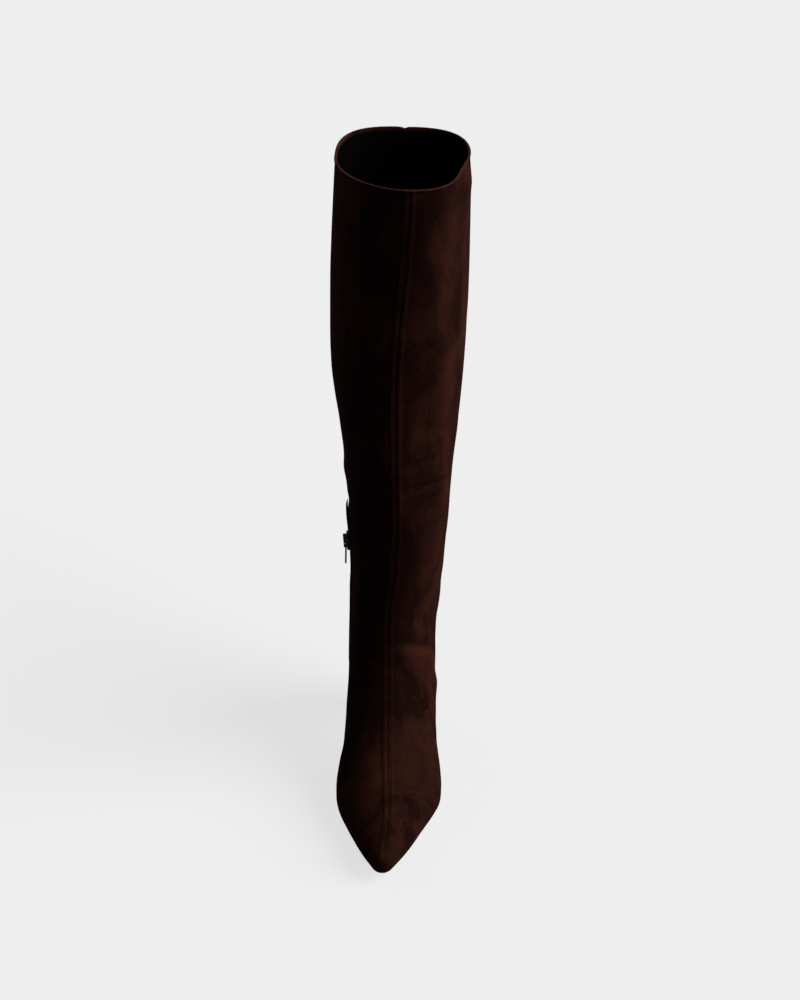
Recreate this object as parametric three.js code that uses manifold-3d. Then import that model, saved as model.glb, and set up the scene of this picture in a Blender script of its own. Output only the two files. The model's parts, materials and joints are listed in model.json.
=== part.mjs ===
// Tall pull-on boot with a pointed toe, for the left foot, in millimetres.
// The toe points to -Y, the outer side of the leg is +X, and +Z is up.
// The origin is on the floor, under the middle of the heel's foot.
import * as THREE from "three";
import { mergeVertices } from "three/addons/utils/BufferGeometryUtils.js";
import Module from "manifold-3d";

// Driving sizes of the last and of the leg
const footLength = 250; // back of the heel to the tip of the toe, along the floor
const ballWidth = 82;
const instepHeight = 48; // crest of the vamp above the sole's top, at the ball
const heelHeight = 55; // floor to the bottom of the upper, at the back
const toeSpring = 9.5;
const shaftHeight = 430; // heel seat to the collar
const calfWidth = 102;
const calfDepth = 137;
const heelSetback = 27; // back of the boot to the middle of the heel's foot
const legSetback = 45; // back of the boot to the axis of the leg

// Walls, seams and edges of the upper
const footWall = 2.2;
const shaftWall = 1.6;
const fit = 0.3; // room between pieces that touch
const marginWidth = 10; // lasting margin turned in under the foot
const seamRise = 0.5; // the ridge over a closed seam
const frontSeamWidth = 8.4;
const backSeamWidth = 6.4;
const collarRollHeight = 3;
const collarRollRise = 0.5;

// Sole, insole and heel
const soleThickness = 3;
const soleInset = 1.2; // the upper stands over the sole's edge
const soleBevel = 1;
const insoleThickness = 2.4;
const seatLength = 60; // back of the boot to the heel's breast, at the seat
const heelInset = 1;
const heelFootWidth = 27;
const heelFootLength = 26;
const topPieceThickness = 5;

// Zip on the inner side of the leg
const zipSetback = 57; // back of the boot to the zip's line
const zipBottom = 16; // lower end of the zip above the heel seat
const zipLength = 119;
const slotWidth = 7.4;
const tapeWidth = 26;
const tapeThickness = 0.8;
const tapeOverlap = 5; // tape beyond each end of the slot
const chainWidth = 5.2;
const toothPitch = 2.5;
const toothLength = 1.4;
const toothDepth = 0.5;
const chainSink = 0.6; // face of the teeth under the upper's face
const stopLength = 3.5;
const sliderLength = 15;
const sliderTopWidth = 10.2;
const sliderBottomWidth = 7.8;
const sliderThickness = 2.2;
const sliderLift = 0.4; // slider's plate over the upper's face
const sliderBelowTop = 10.5; // middle of the slider under the zip's upper end
const sliderNeckWidth = 4.2;
const sliderNeckLength = 6;
const bridgeWidth = 2.6;
const bridgeThickness = 0.9;
const bridgeLength = 11.5;
const hingeDrop = 3.2; // hinge of the tab under the slider's middle
const tabLength = 17;
const tabWidth = 5;
const tabEndWidth = 6.2;
const tabThickness = 1.2;
const tabEyeReach = 6; // hinge to the far end of the tab's eye
const tabPinRadius = 0.6;
const pinPlay = 0.28;

// How finely the forms are faceted
const sideSteps = 13; // points on each side of a ring, between the seams
const bottomSteps = 38; // rows of the sole along the foot
const heelSteps = 7;
const heelSidePoints = 9;
const zipSteps = 14;
const reach = shaftHeight / 2; // half size of the blocks that only cut

const wasm = await Module();
wasm.setup();

const mix = (a, b, share) => a + (b - a) * share;

/** Reads one column of a table at a place between its rows, by a curve that never overshoots them. */
function readTable(table, key, column, at) {
  const last = table.length - 1;
  if (at <= table[0][key]) return table[0][column];
  if (at >= table[last][key]) return table[last][column];
  const slope = (i) => (table[i + 1][column] - table[i][column]) / (table[i + 1][key] - table[i][key]);
  const tangent = (i) => {
    if (i === 0) return slope(0);
    if (i === last) return slope(last - 1);
    const before = slope(i - 1);
    const after = slope(i);
    return before * after <= 0 ? 0 : (2 * before * after) / (before + after);
  };
  const row = table.findIndex((entry) => entry[key] > at) - 1;
  const span = table[row + 1][key] - table[row][key];
  const u = (at - table[row][key]) / span;
  const rise = table[row + 1][column] - table[row][column];
  const a = tangent(row) * span - rise;
  const b = rise - tangent(row + 1) * span;
  return table[row][column] + rise * u + u * (1 - u) * (a * (1 - u) + b * u);
}

// Side view of the foot's bottom: shares of the foot's length from the back, of the heel's rise and of the toe's spring
const bottomLine = [
  { along: 0.0, rise: 1.0, spring: 0 },
  { along: 0.1, rise: 0.975, spring: 0 },
  { along: 0.2, rise: 0.895, spring: 0 },
  { along: 0.28, rise: 0.765, spring: 0 },
  { along: 0.36, rise: 0.585, spring: 0 },
  { along: 0.44, rise: 0.385, spring: 0 },
  { along: 0.52, rise: 0.195, spring: 0 },
  { along: 0.58, rise: 0.08, spring: 0 },
  { along: 0.64, rise: 0.0, spring: 0 },
  { along: 0.75, rise: 0.0, spring: 0 },
  { along: 0.83, rise: 0.0, spring: 0.17 },
  { along: 0.91, rise: 0.0, spring: 0.5 },
  { along: 1.0, rise: 0.0, spring: 1.0 },
];

const backOfBoot = heelSetback;
const breast = backOfBoot - seatLength;
const alongOf = (y) => (backOfBoot - y) / footLength;

/** Height of the upper's bottom over the floor, at a place along the foot. */
function bottomHeight(y) {
  const along = alongOf(y);
  const flat = soleThickness + fit;
  const rise = readTable(bottomLine, "along", "rise", along) * (heelHeight - flat);
  return flat + rise + readTable(bottomLine, "along", "spring", along) * toeSpring;
}

/** A point of the profile by the foot: shares of its length from the back and of the instep's height over the bottom. */
function foot(along, lift) {
  const y = backOfBoot - along * footLength;
  return { y, z: bottomHeight(y) + lift * instepHeight };
}

/** A point of the profile by the leg: shares of the shaft's height and of the calf's depth in front of the leg's axis. */
function leg(up, fore) {
  return { y: backOfBoot - legSetback - fore * calfDepth, z: heelHeight + up * shaftHeight };
}

// The last and the leg as rings, each in a plane from its front point to its back point.
// half, middle and seam are shares of the ball's width in the foot and of the calf's width in the leg:
// half the ring's width, its middle towards the outer side, and the front seam from that middle.
// level is where the ring is widest, from front to back. crown and base are how full its two ends are.
const rings = [
  { front: foot(0.999, 0.15), back: foot(1.0, -0.04), wide: ballWidth, half: 0.036, middle: -0.034, seam: 0, level: 0.6, crown: 2, base: 2.4 },
  { front: foot(0.987, 0.235), back: foot(0.987, -0.07), wide: ballWidth, half: 0.082, middle: -0.033, seam: 0.004, level: 0.62, crown: 2, base: 3 },
  { front: foot(0.956, 0.35), back: foot(0.956, -0.07), wide: ballWidth, half: 0.13, middle: -0.032, seam: 0.018, level: 0.63, crown: 2, base: 3.5 },
  { front: foot(0.908, 0.47), back: foot(0.908, -0.07), wide: ballWidth, half: 0.198, middle: -0.03, seam: 0.034, level: 0.64, crown: 2, base: 4 },
  { front: foot(0.848, 0.6), back: foot(0.848, -0.07), wide: ballWidth, half: 0.276, middle: -0.027, seam: 0.036, level: 0.65, crown: 2, base: 4.5 },
  { front: foot(0.78, 0.735), back: foot(0.78, -0.07), wide: ballWidth, half: 0.357, middle: -0.024, seam: 0.027, level: 0.66, crown: 2, base: 5 },
  { front: foot(0.712, 0.865), back: foot(0.712, -0.07), wide: ballWidth, half: 0.444, middle: -0.014, seam: 0.006, level: 0.67, crown: 2, base: 5 },
  { front: foot(0.648, 1.0), back: foot(0.648, -0.07), wide: ballWidth, half: 0.496, middle: 0.001, seam: -0.02, level: 0.68, crown: 1.95, base: 5 },
  { front: foot(0.592, 1.145), back: foot(0.584, -0.07), wide: ballWidth, half: 0.492, middle: 0.004, seam: -0.028, level: 0.68, crown: 1.9, base: 5 },
  { front: foot(0.548, 1.29), back: foot(0.512, -0.07), wide: ballWidth, half: 0.458, middle: 0.006, seam: -0.03, level: 0.67, crown: 1.88, base: 5 },
  { front: foot(0.508, 1.43), back: foot(0.436, -0.07), wide: ballWidth, half: 0.438, middle: 0.003, seam: -0.033, level: 0.65, crown: 1.88, base: 5 },
  { front: leg(0.093, 0.533), back: foot(0.356, -0.07), wide: ballWidth, half: 0.436, middle: 0.004, seam: -0.038, level: 0.62, crown: 1.92, base: 4.8 },
  { front: leg(0.12, 0.485), back: foot(0.276, -0.07), wide: ballWidth, half: 0.424, middle: 0.002, seam: -0.038, level: 0.58, crown: 1.98, base: 4.5 },
  { front: leg(0.146, 0.453), back: foot(0.188, -0.07), wide: ballWidth, half: 0.42, middle: 0.0, seam: -0.04, level: 0.55, crown: 2.04, base: 4.1 },
  { front: leg(0.172, 0.432), back: foot(0.1, -0.07), wide: ballWidth, half: 0.419, middle: 0.0, seam: -0.043, level: 0.52, crown: 2.1, base: 3.5 },
  { front: leg(0.197, 0.422), back: foot(0.03, -0.06), wide: ballWidth, half: 0.42, middle: 0.001, seam: -0.04, level: 0.5, crown: 2.1, base: 2.9 },
  { front: leg(0.221, 0.416), back: leg(0.013, -0.338), wide: ballWidth, half: 0.422, middle: 0.003, seam: -0.034, level: 0.5, crown: 2.1, base: 2.5 },
  { front: leg(0.247, 0.412), back: leg(0.049, -0.35), wide: ballWidth, half: 0.431, middle: 0.012, seam: -0.03, level: 0.5, crown: 2.1, base: 2.35 },
  { front: leg(0.275, 0.41), back: leg(0.093, -0.335), wide: ballWidth, half: 0.437, middle: 0.018, seam: -0.016, level: 0.5, crown: 2.1, base: 2.25 },
  { front: leg(0.31, 0.409), back: leg(0.147, -0.303), wide: calfWidth, half: 0.354, middle: 0.022, seam: -0.016, level: 0.5, crown: 2.1, base: 2.2 },
  { front: leg(0.352, 0.409), back: leg(0.212, -0.27), wide: calfWidth, half: 0.364, middle: 0.021, seam: -0.009, level: 0.5, crown: 2.1, base: 2.15 },
  { front: leg(0.403, 0.412), back: leg(0.291, -0.262), wide: calfWidth, half: 0.384, middle: 0.018, seam: -0.007, level: 0.5, crown: 2.1, base: 2.1 },
  { front: leg(0.468, 0.422), back: leg(0.387, -0.298), wide: calfWidth, half: 0.397, middle: 0.02, seam: -0.02, level: 0.5, crown: 2.1, base: 2.1 },
  { front: leg(0.552, 0.438), back: leg(0.501, -0.381), wide: calfWidth, half: 0.44, middle: 0.008, seam: -0.018, level: 0.5, crown: 2.1, base: 2.1 },
  { front: leg(0.65, 0.46), back: leg(0.624, -0.455), wide: calfWidth, half: 0.483, middle: -0.01, seam: -0.006, level: 0.5, crown: 2.1, base: 2.1 },
  { front: leg(0.762, 0.48), back: leg(0.752, -0.499), wide: calfWidth, half: 0.497, middle: -0.011, seam: 0.01, level: 0.5, crown: 2.1, base: 2.15 },
  { front: leg(0.878, 0.493), back: leg(0.875, -0.511), wide: calfWidth, half: 0.49, middle: -0.009, seam: 0.042, level: 0.5, crown: 2.1, base: 2.5 },
  { front: leg(1.005, 0.496), back: leg(1.006, -0.504), wide: calfWidth, half: 0.473, middle: -0.001, seam: 0.056, level: 0.5, crown: 2.1, base: 2.9 },
];
const lastRing = rings.length - 1;
const firstLegRing = 20; // from here up the leg is plain, so the rings stand further apart
const firstInnerRing = 1.5; // the inside starts behind the solid tip of the toe

/** Reads a number of the rings at a place between two of them, by a smooth curve through four. */
function readRings(at, value) {
  const row = Math.min(Math.floor(at), lastRing - 1);
  const u = at - row;
  const take = (i) => value(rings[Math.min(Math.max(i, 0), lastRing)]);
  const [a, b, c, d] = [take(row - 1), take(row), take(row + 1), take(row + 2)];
  return b + 0.5 * u * (c - a + u * (2 * a - 5 * b + 4 * c - d + u * (3 * (b - c) + d - a)));
}

/** The form of the ring at a place along the boot, in millimetres. */
function ringForm(at) {
  const read = (value) => readRings(at, value);
  return {
    front: { y: read((r) => r.front.y), z: read((r) => r.front.z) },
    back: { y: read((r) => r.back.y), z: read((r) => r.back.z) },
    half: read((r) => r.half * r.wide),
    middle: read((r) => r.middle * r.wide),
    seam: read((r) => r.seam * r.wide),
    level: read((r) => r.level),
    crown: read((r) => r.crown),
    base: read((r) => r.base),
  };
}

/** Share of a ring's half width at a share of the way from its front point to its back point. */
function fullness(form, share) {
  const inFront = share < form.level;
  const away = inFront ? 1 - share / form.level : (share - form.level) / (1 - form.level);
  const power = inFront ? form.crown : form.base;
  return (1 - Math.min(Math.abs(away), 1) ** power) ** (1 / power);
}

/** The share of the way down a ring where it is as wide as the given share of its half width. */
function shareAtWidth(form, width, inFront) {
  const power = inFront ? form.crown : form.base;
  const away = (1 - width ** power) ** (1 / power);
  return inFront ? form.level * (1 - away) : form.level + (1 - form.level) * away;
}

/** Sideways shift of a ring's middle line, which runs to the front seam. */
function middleAt(form, share) {
  const toSeam = Math.max(1 - share / form.level, 0);
  return form.middle + form.seam * toSeam ** 2;
}

/** The points of one side of a ring, from the front seam to the back seam: share, width share and rise. */
function sidePoints(form) {
  const points = [];
  const atWidth = (distance, inFront, rise) => {
    const width = Math.min(distance / form.half, 0.9);
    points.push({ share: shareAtWidth(form, width, inFront), width, rise });
  };
  const frontHalf = Math.min(frontSeamWidth / 2, form.half / 2);
  const backHalf = Math.min(backSeamWidth / 2, form.half / 2);
  atWidth(frontHalf * 0.2, true, seamRise);
  atWidth(frontHalf * 0.78, true, seamRise);
  atWidth(frontHalf, true, 0);
  const start = Math.asin((frontHalf / form.half) ** (form.crown / 2));
  const end = Math.PI - Math.asin((backHalf / form.half) ** (form.base / 2));
  for (let i = 1; i <= sideSteps; i++) {
    const angle = mix(start, end, i / (sideSteps + 1));
    const power = angle < Math.PI / 2 ? form.crown : form.base;
    const away = Math.abs(Math.cos(angle)) ** (2 / power);
    const share = angle < Math.PI / 2 ? form.level * (1 - away) : form.level + (1 - form.level) * away;
    points.push({ share, width: fullness(form, share), rise: 0 });
  }
  atWidth(backHalf, false, 0);
  atWidth(backHalf * 0.35, false, seamRise);
  return points;
}

/** A whole ring as flat points: x sideways and d down from the front point, with the rise of each. */
function flatRing(form) {
  const length = Math.hypot(form.back.y - form.front.y, form.back.z - form.front.z);
  const side = sidePoints(form);
  const place = (p, sign) => ({
    x: middleAt(form, p.share) + sign * form.half * p.width,
    d: p.share * length,
    rise: p.rise,
  });
  return [
    { x: middleAt(form, 0), d: 0, rise: 0 },
    ...side.map((p) => place(p, 1)),
    { x: middleAt(form, 1), d: length, rise: 0 },
    ...side.map((p) => place(p, -1)).reverse(),
  ];
}

/** A ring's points in space, moved outwards in its own plane by grow, with or without the seams' ridges. */
function ringPoints(at, grow, withSeams) {
  const form = ringForm(at);
  const flat = flatRing(form);
  const length = Math.hypot(form.back.y - form.front.y, form.back.z - form.front.z);
  const down = { y: (form.back.y - form.front.y) / length, z: (form.back.z - form.front.z) / length };
  return flat.map((p, i) => {
    const before = flat[(i + flat.length - 1) % flat.length];
    const after = flat[(i + 1) % flat.length];
    const size = Math.hypot(after.x - before.x, after.d - before.d);
    const out = { x: (after.d - before.d) / size, d: -(after.x - before.x) / size };
    const move = grow + (withSeams ? p.rise : 0);
    const d = p.d + out.d * move;
    return new THREE.Vector3(p.x + out.x * move, form.front.y + down.y * d, form.front.z + down.z * d);
  });
}

/** Turns rings of points into a closed solid, capped at both ends. */
function loftSolid(ringList) {
  const count = ringList[0].length;
  const positions = ringList.flat();
  const indices = [];
  for (let i = 0; i < ringList.length - 1; i++) {
    for (let j = 0; j < count; j++) {
      const a = i * count + j;
      const b = i * count + ((j + 1) % count);
      indices.push(a, b, b + count, a, b + count, a + count);
    }
  }
  const cap = (ring, start, turned) => {
    const middle = ring.reduce((sum, p) => sum.add(p), new THREE.Vector3()).divideScalar(count);
    const centre = positions.push(middle) - 1;
    for (let j = 0; j < count; j++) {
      const a = start + j;
      const b = start + ((j + 1) % count);
      indices.push(...(turned ? [centre, a, b] : [centre, b, a]));
    }
  };
  cap(ringList[0], 0, false);
  cap(ringList[ringList.length - 1], (ringList.length - 1) * count, true);
  return solidFrom(positions.flatMap((p) => p.toArray()), indices);
}

/** A manifold solid from loose positions and triangles, turned so that its faces point outwards. */
function solidFrom(positions, indices) {
  const make = (triangles) =>
    new wasm.Manifold(
      new wasm.Mesh({
        numProp: 3,
        vertProperties: new Float32Array(positions),
        triVerts: new Uint32Array(triangles),
      }),
    );
  const made = make(indices);
  if (made.volume() >= 0) return made;
  return make([...indices].reverse());
}

/** A manifold solid from a three.js geometry. */
function solidOf(geometry) {
  const bare = new THREE.BufferGeometry().setAttribute("position", geometry.getAttribute("position"));
  if (geometry.index) bare.setIndex(geometry.index);
  const merged = mergeVertices(bare, 1e-4);
  return solidFrom([...merged.attributes.position.array], [...merged.index.array]);
}

/** A profile in Y and Z, extruded along X from one place to another. */
function profileSolid(points, fromX, toX) {
  const shape = new THREE.Shape(points.map((p) => new THREE.Vector2(p.y, p.z)));
  const geometry = new THREE.ExtrudeGeometry(shape, { depth: toX - fromX, bevelEnabled: false });
  geometry.applyMatrix4(new THREE.Matrix4().set(0, 0, 1, fromX, 1, 0, 0, 0, 0, 1, 0, 0, 0, 0, 0, 1));
  return solidOf(geometry);
}

/** A box between two corners. */
function boxSolid(low, high) {
  const size = high.map((value, i) => value - low[i]);
  const geometry = new THREE.BoxGeometry(...size);
  geometry.translate(...low.map((value, i) => value + size[i] / 2));
  return solidOf(geometry);
}

// Where the foot's bottom line is drawn, from the back of the boot to the tip of the toe
const bottomYs = Array.from({ length: bottomSteps + 1 }, (_, i) => backOfBoot - (footLength * i) / bottomSteps);

/** Everything above the foot's bottom line raised by lift, and under a far ceiling. */
function aboveBottom(lift) {
  const ys = [backOfBoot + reach, ...bottomYs, backOfBoot - footLength - reach];
  const curve = ys.map((y) => ({ y, z: bottomHeight(y) + lift }));
  const ceiling = heelHeight + shaftHeight + reach;
  const corners = [
    { y: curve[curve.length - 1].y, z: ceiling },
    { y: curve[0].y, z: ceiling },
  ];
  return profileSolid([...curve, ...corners], -reach, reach);
}

/** The upper's outline in X and Y at a height over its bottom line, from the toe round the back. */
function outlineAt(lift) {
  const outer = [];
  const inner = [];
  for (let step = 0; step <= lastRing * 10; step++) {
    const form = ringForm(step / 10);
    const y = (share) => mix(form.front.y, form.back.y, share);
    const over = (share) => mix(form.front.z, form.back.z, share) - bottomHeight(y(share)) - lift;
    let [low, high] = [0, 1];
    if (over(high) > 0) break;
    if (over(low) < 0) continue;
    for (let i = 0; i < 30; i++) {
      const middle = (low + high) / 2;
      if (over(middle) > 0) low = middle;
      else high = middle;
    }
    const half = form.half * fullness(form, low);
    outer.push([middleAt(form, low) + half, y(low)]);
    inner.push([middleAt(form, low) - half, y(low)]);
  }
  return [...outer, ...inner.reverse()];
}

/** An outline drawn in by a distance, as rows from the toe to the back: y and the two edges. */
function outlineRows(outline, inset) {
  const section = new wasm.CrossSection([outline], "Positive").offset(-inset, "Round", 2, 48);
  const drawn = section.toPolygons().sort((a, b) => b.length - a.length)[0];
  const low = Math.min(...drawn.map((p) => p[1]));
  const high = Math.max(...drawn.map((p) => p[1]));
  const ends = [0.15, 0.8, 2.2, 4.4];
  const between = bottomYs.filter((y) => y > low + 5.5 && y < high - 5.5).reverse();
  const ys = [...ends.map((end) => low + end), ...between, ...ends.map((end) => high - end).reverse()];
  return ys.map((y) => {
    const xs = [];
    drawn.forEach((p, j) => {
      const q = drawn[(j + 1) % drawn.length];
      if (p[1] < y !== q[1] < y) xs.push(mix(p[0], q[0], (y - p[1]) / (q[1] - p[1])));
    });
    return { y, outer: Math.max(...xs), inner: Math.min(...xs) };
  });
}

/** A plate that follows the foot's bottom line between two heights over it, with its lower edge broken. */
function plateAlong(rows, low, high, bevel) {
  return loftSolid(
    rows.map(({ y, outer, inner }) => {
      const z = bottomHeight(y);
      const cut = Math.min(bevel, (outer - inner) / 4);
      const corners = [
        [outer, high],
        [outer, low + cut],
        [outer - cut, low],
        [inner + cut, low],
        [inner, low + cut],
        [inner, high],
      ];
      return corners.map(([x, over]) => new THREE.Vector3(x, y, z + over));
    }),
  );
}

/** Thickness of the upper's wall at a place along the boot. */
function wallAt(at) {
  const share = THREE.MathUtils.smoothstep(at, 9, 17);
  return mix(footWall, shaftWall, share);
}

/** Places along the boot where a ring is drawn, a number of times between two rows of the table. */
function places(from, to, perRow) {
  const count = Math.round((to - from) * perRow);
  return Array.from({ length: count + 1 }, (_, i) => mix(from, to, i / count));
}

/** The room inside the upper, drawn in by some more room on every side. */
function roomSolid(room) {
  const top = ringPoints(lastRing, -shaftWall - room, false);
  const start = firstInnerRing + room / 3;
  const between = places(firstInnerRing, lastRing, 1).slice(1, -1);
  return loftSolid([
    ...[start, ...between].map((at) => ringPoints(at, -wallAt(at) - room, false)),
    top,
    top.map((p) => p.clone().setZ(p.z + collarRollHeight)),
  ]).intersect(aboveBottom(footWall + room));
}

/** The upper: last and leg in one hollow wall, open at the collar and under the foot, with the zip's slot. */
function upperSolid(outline) {
  const rowHeight = rings[lastRing].front.z - rings[lastRing - 1].front.z;
  const rollStart = lastRing - collarRollHeight / rowHeight;
  const rollEdge = 0.5 / rowHeight;
  const outerRings = [
    ...places(0, firstLegRing, 2).map((at) => ringPoints(at, 0, true)),
    ...places(firstLegRing + 0.5, lastRing - 0.5, 2).map((at) => ringPoints(at, 0, true)),
    ringPoints(rollStart - rollEdge, 0, true),
    ringPoints(rollStart, collarRollRise, false),
    ringPoints(lastRing - rollEdge, collarRollRise, false),
    ringPoints(lastRing, collarRollRise / 3, false),
  ];
  const opening = plateAlong(outlineRows(outline, marginWidth), -footWall, footWall * 2, 0);
  const slot = zipPatch(slotWidth, -2, 5, zipFoot, zipHead, 3);
  return loftSolid(outerRings).intersect(aboveBottom(0)).subtract(roomSolid(0)).subtract(opening).subtract(slot);
}

/** The insole, lying inside the upper on its turned-in margin. */
function insoleSolid(outline) {
  const low = footWall + fit;
  return plateAlong(outlineRows(outline, 0), 0, low + insoleThickness, 0).intersect(roomSolid(fit));
}

/** The sole: one plate along the whole foot, with toe spring and arch. */
function soleSolid(outline) {
  return plateAlong(outlineRows(outline, soleInset), -fit - soleThickness, -fit, soleBevel);
}

/** Everything above the underside of the sole, down to the room left for the heel. */
function aboveHeel() {
  return aboveBottom(-fit - soleThickness - fit);
}

/** One level of the heel: shares from the seat's form to the foot's form, and its height. */
function heelLevel(seat, share, heightAt) {
  const footBack = heelFootLength / 2;
  const shape = seat.map((row, i) => {
    const along = i / (seat.length - 1);
    const turn = (along * Math.PI) / 2;
    const half = (heelFootWidth / 2) * (1 - Math.sin(turn) ** 2.6) ** (1 / 2.6);
    const y = mix(-footBack, footBack, Math.sin(turn) ** 0.9);
    return {
      y: mix(row.y, y, share),
      outer: mix(row.outer, Math.max(half, 0.8), share),
      inner: mix(row.inner, -Math.max(half, 0.8), share),
    };
  });
  return [
    ...shape.map((row, i) => new THREE.Vector3(row.outer, row.y, heightAt(seat[i].y))),
    ...shape.map((row, i) => new THREE.Vector3(row.inner, row.y, heightAt(seat[i].y))).reverse(),
  ];
}

/** Rows of the seat's outline from the breast to the back of the heel. */
function seatRows(outline) {
  const rows = outlineRows(outline, soleInset + heelInset);
  const back = rows[rows.length - 1].y;
  return Array.from({ length: heelSidePoints }, (_, i) => {
    const y = mix(breast, back, Math.sin((Math.PI * i) / (2 * (heelSidePoints - 1))));
    const after = rows.find((row) => row.y >= y - 1e-6);
    const before = rows[Math.max(rows.indexOf(after) - 1, 0)];
    const u = (y - before.y) / Math.max(after.y - before.y, 1e-6);
    return { y, outer: mix(before.outer, after.outer, u), inner: mix(before.inner, after.inner, u) };
  });
}

/** How far the heel has drawn in from its seat, at a share of its height from the top. */
function heelTaper(down) {
  return 1 - (1 - down) ** 1.7 * (1 + 0.35 * down);
}

/** The covered heel, between the sole's underside and its top piece. */
function heelSolid(outline) {
  const seat = seatRows(outline);
  const bottom = topPieceThickness + fit;
  const levels = Array.from({ length: heelSteps + 1 }, (_, i) => {
    const up = i / heelSteps;
    return heelLevel(seat, heelTaper(1 - up), (y) => mix(bottom, bottomHeight(y) - soleThickness + 1.5, up));
  });
  return loftSolid(levels).subtract(aboveHeel());
}

/** The wearing piece under the heel. */
function topPieceSolid(outline) {
  const seat = seatRows(outline);
  return loftSolid([heelLevel(seat, 1, () => 0), heelLevel(seat, 1, () => topPieceThickness)]);
}

const zipFoot = heelHeight + zipBottom;
const zipHead = zipFoot + zipLength;
const zipY = backOfBoot - zipSetback;
const sliderZ = zipHead - sliderBelowTop;

/** The inner side of the upper's face at a place in the side view: its point and its outward direction. */
function innerFace(y, z) {
  const xAt = (py, pz) => {
    let [low, high] = [6, lastRing];
    for (let i = 0; i < 30; i++) {
      const at = (low + high) / 2;
      const { front, back } = ringForm(at);
      const turn = (back.y - front.y) * (pz - front.z) - (back.z - front.z) * (py - front.y);
      if (turn > 0) low = at;
      else high = at;
    }
    const form = ringForm(low);
    const run = { y: form.back.y - form.front.y, z: form.back.z - form.front.z };
    const share = ((py - form.front.y) * run.y + (pz - form.front.z) * run.z) / (run.y ** 2 + run.z ** 2);
    return middleAt(form, share) - form.half * fullness(form, share);
  };
  const step = 0.5;
  const slopeY = (xAt(y + step, z) - xAt(y - step, z)) / (2 * step);
  const slopeZ = (xAt(y, z + step) - xAt(y, z - step)) / (2 * step);
  return { point: new THREE.Vector3(xAt(y, z), y, z), out: new THREE.Vector3(-1, slopeY, slopeZ).normalize() };
}

/** A ring round a strip along the zip, at one height: from one depth under the upper's face to another. */
function zipRing(width, face, back, z, columns) {
  const across = Array.from({ length: columns }, (_, i) => mix(-width / 2, width / 2, i / (columns - 1)));
  const at = (u, depth) => {
    const { point, out } = innerFace(zipY + u, z);
    return point.addScaledVector(out, -depth);
  };
  return [...across.map((u) => at(u, face)), ...across.map((u) => at(u, back)).reverse()];
}

/** A strip along the zip that follows the upper's face. */
function zipPatch(width, face, back, low, high, columns) {
  return loftSolid(places(0, 1, zipSteps).map((share) => zipRing(width, face, back, mix(low, high, share), columns)));
}

/** Depth of the tape's outer face under the upper's face. */
const tapeDepth = footWall + fit;

/** The zip's tape, behind the slot. */
function tapeSolid() {
  return zipPatch(tapeWidth, tapeDepth, tapeDepth + tapeThickness, zipFoot - tapeOverlap, zipHead + tapeOverlap, 5);
}

/** The closed row of teeth, with a stop at each end. */
function chainSolid() {
  const back = tapeDepth - fit;
  const low = zipFoot + 1;
  const high = zipHead - 1;
  const ringsOfTeeth = [];
  const block = (from, to, width, face) => {
    ringsOfTeeth.push(zipRing(width, face, back, from, 2), zipRing(width, face, back, to, 2));
  };
  const teeth = Math.floor((high - low - 2 * stopLength) / toothPitch);
  const first = low + stopLength + (high - low - 2 * stopLength - teeth * toothPitch) / 2;
  block(low, low + stopLength, chainWidth + 0.8, chainSink);
  for (let i = 0; i < teeth; i++) {
    const z = first + i * toothPitch + (toothPitch - toothLength) / 2;
    block(z, z + toothLength, chainWidth, chainSink);
    if (i < teeth - 1) block(z + toothLength + 0.1, z + toothPitch - 0.1, chainWidth - 1.6, chainSink + toothDepth);
  }
  block(high - stopLength, high, chainWidth + 0.8, chainSink);
  return loftSolid(ringsOfTeeth);
}

/** The slider's own directions: side along the tape's width, up along the zip, and out of the leg. */
function sliderFrame() {
  const low = innerFace(zipY, sliderZ - sliderLength / 2).point;
  const high = innerFace(zipY, sliderZ + sliderLength / 2).point;
  const up = high.sub(low).setY(0).normalize();
  const side = new THREE.Vector3(0, 1, 0);
  const out = new THREE.Vector3().crossVectors(side, up).negate();
  const centre = innerFace(zipY, sliderZ).point;
  return { up, side, out, centre };
}

const plateTop = sliderLift + sliderThickness;
const hingeLift = plateTop + pinPlay + tabPinRadius;

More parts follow.
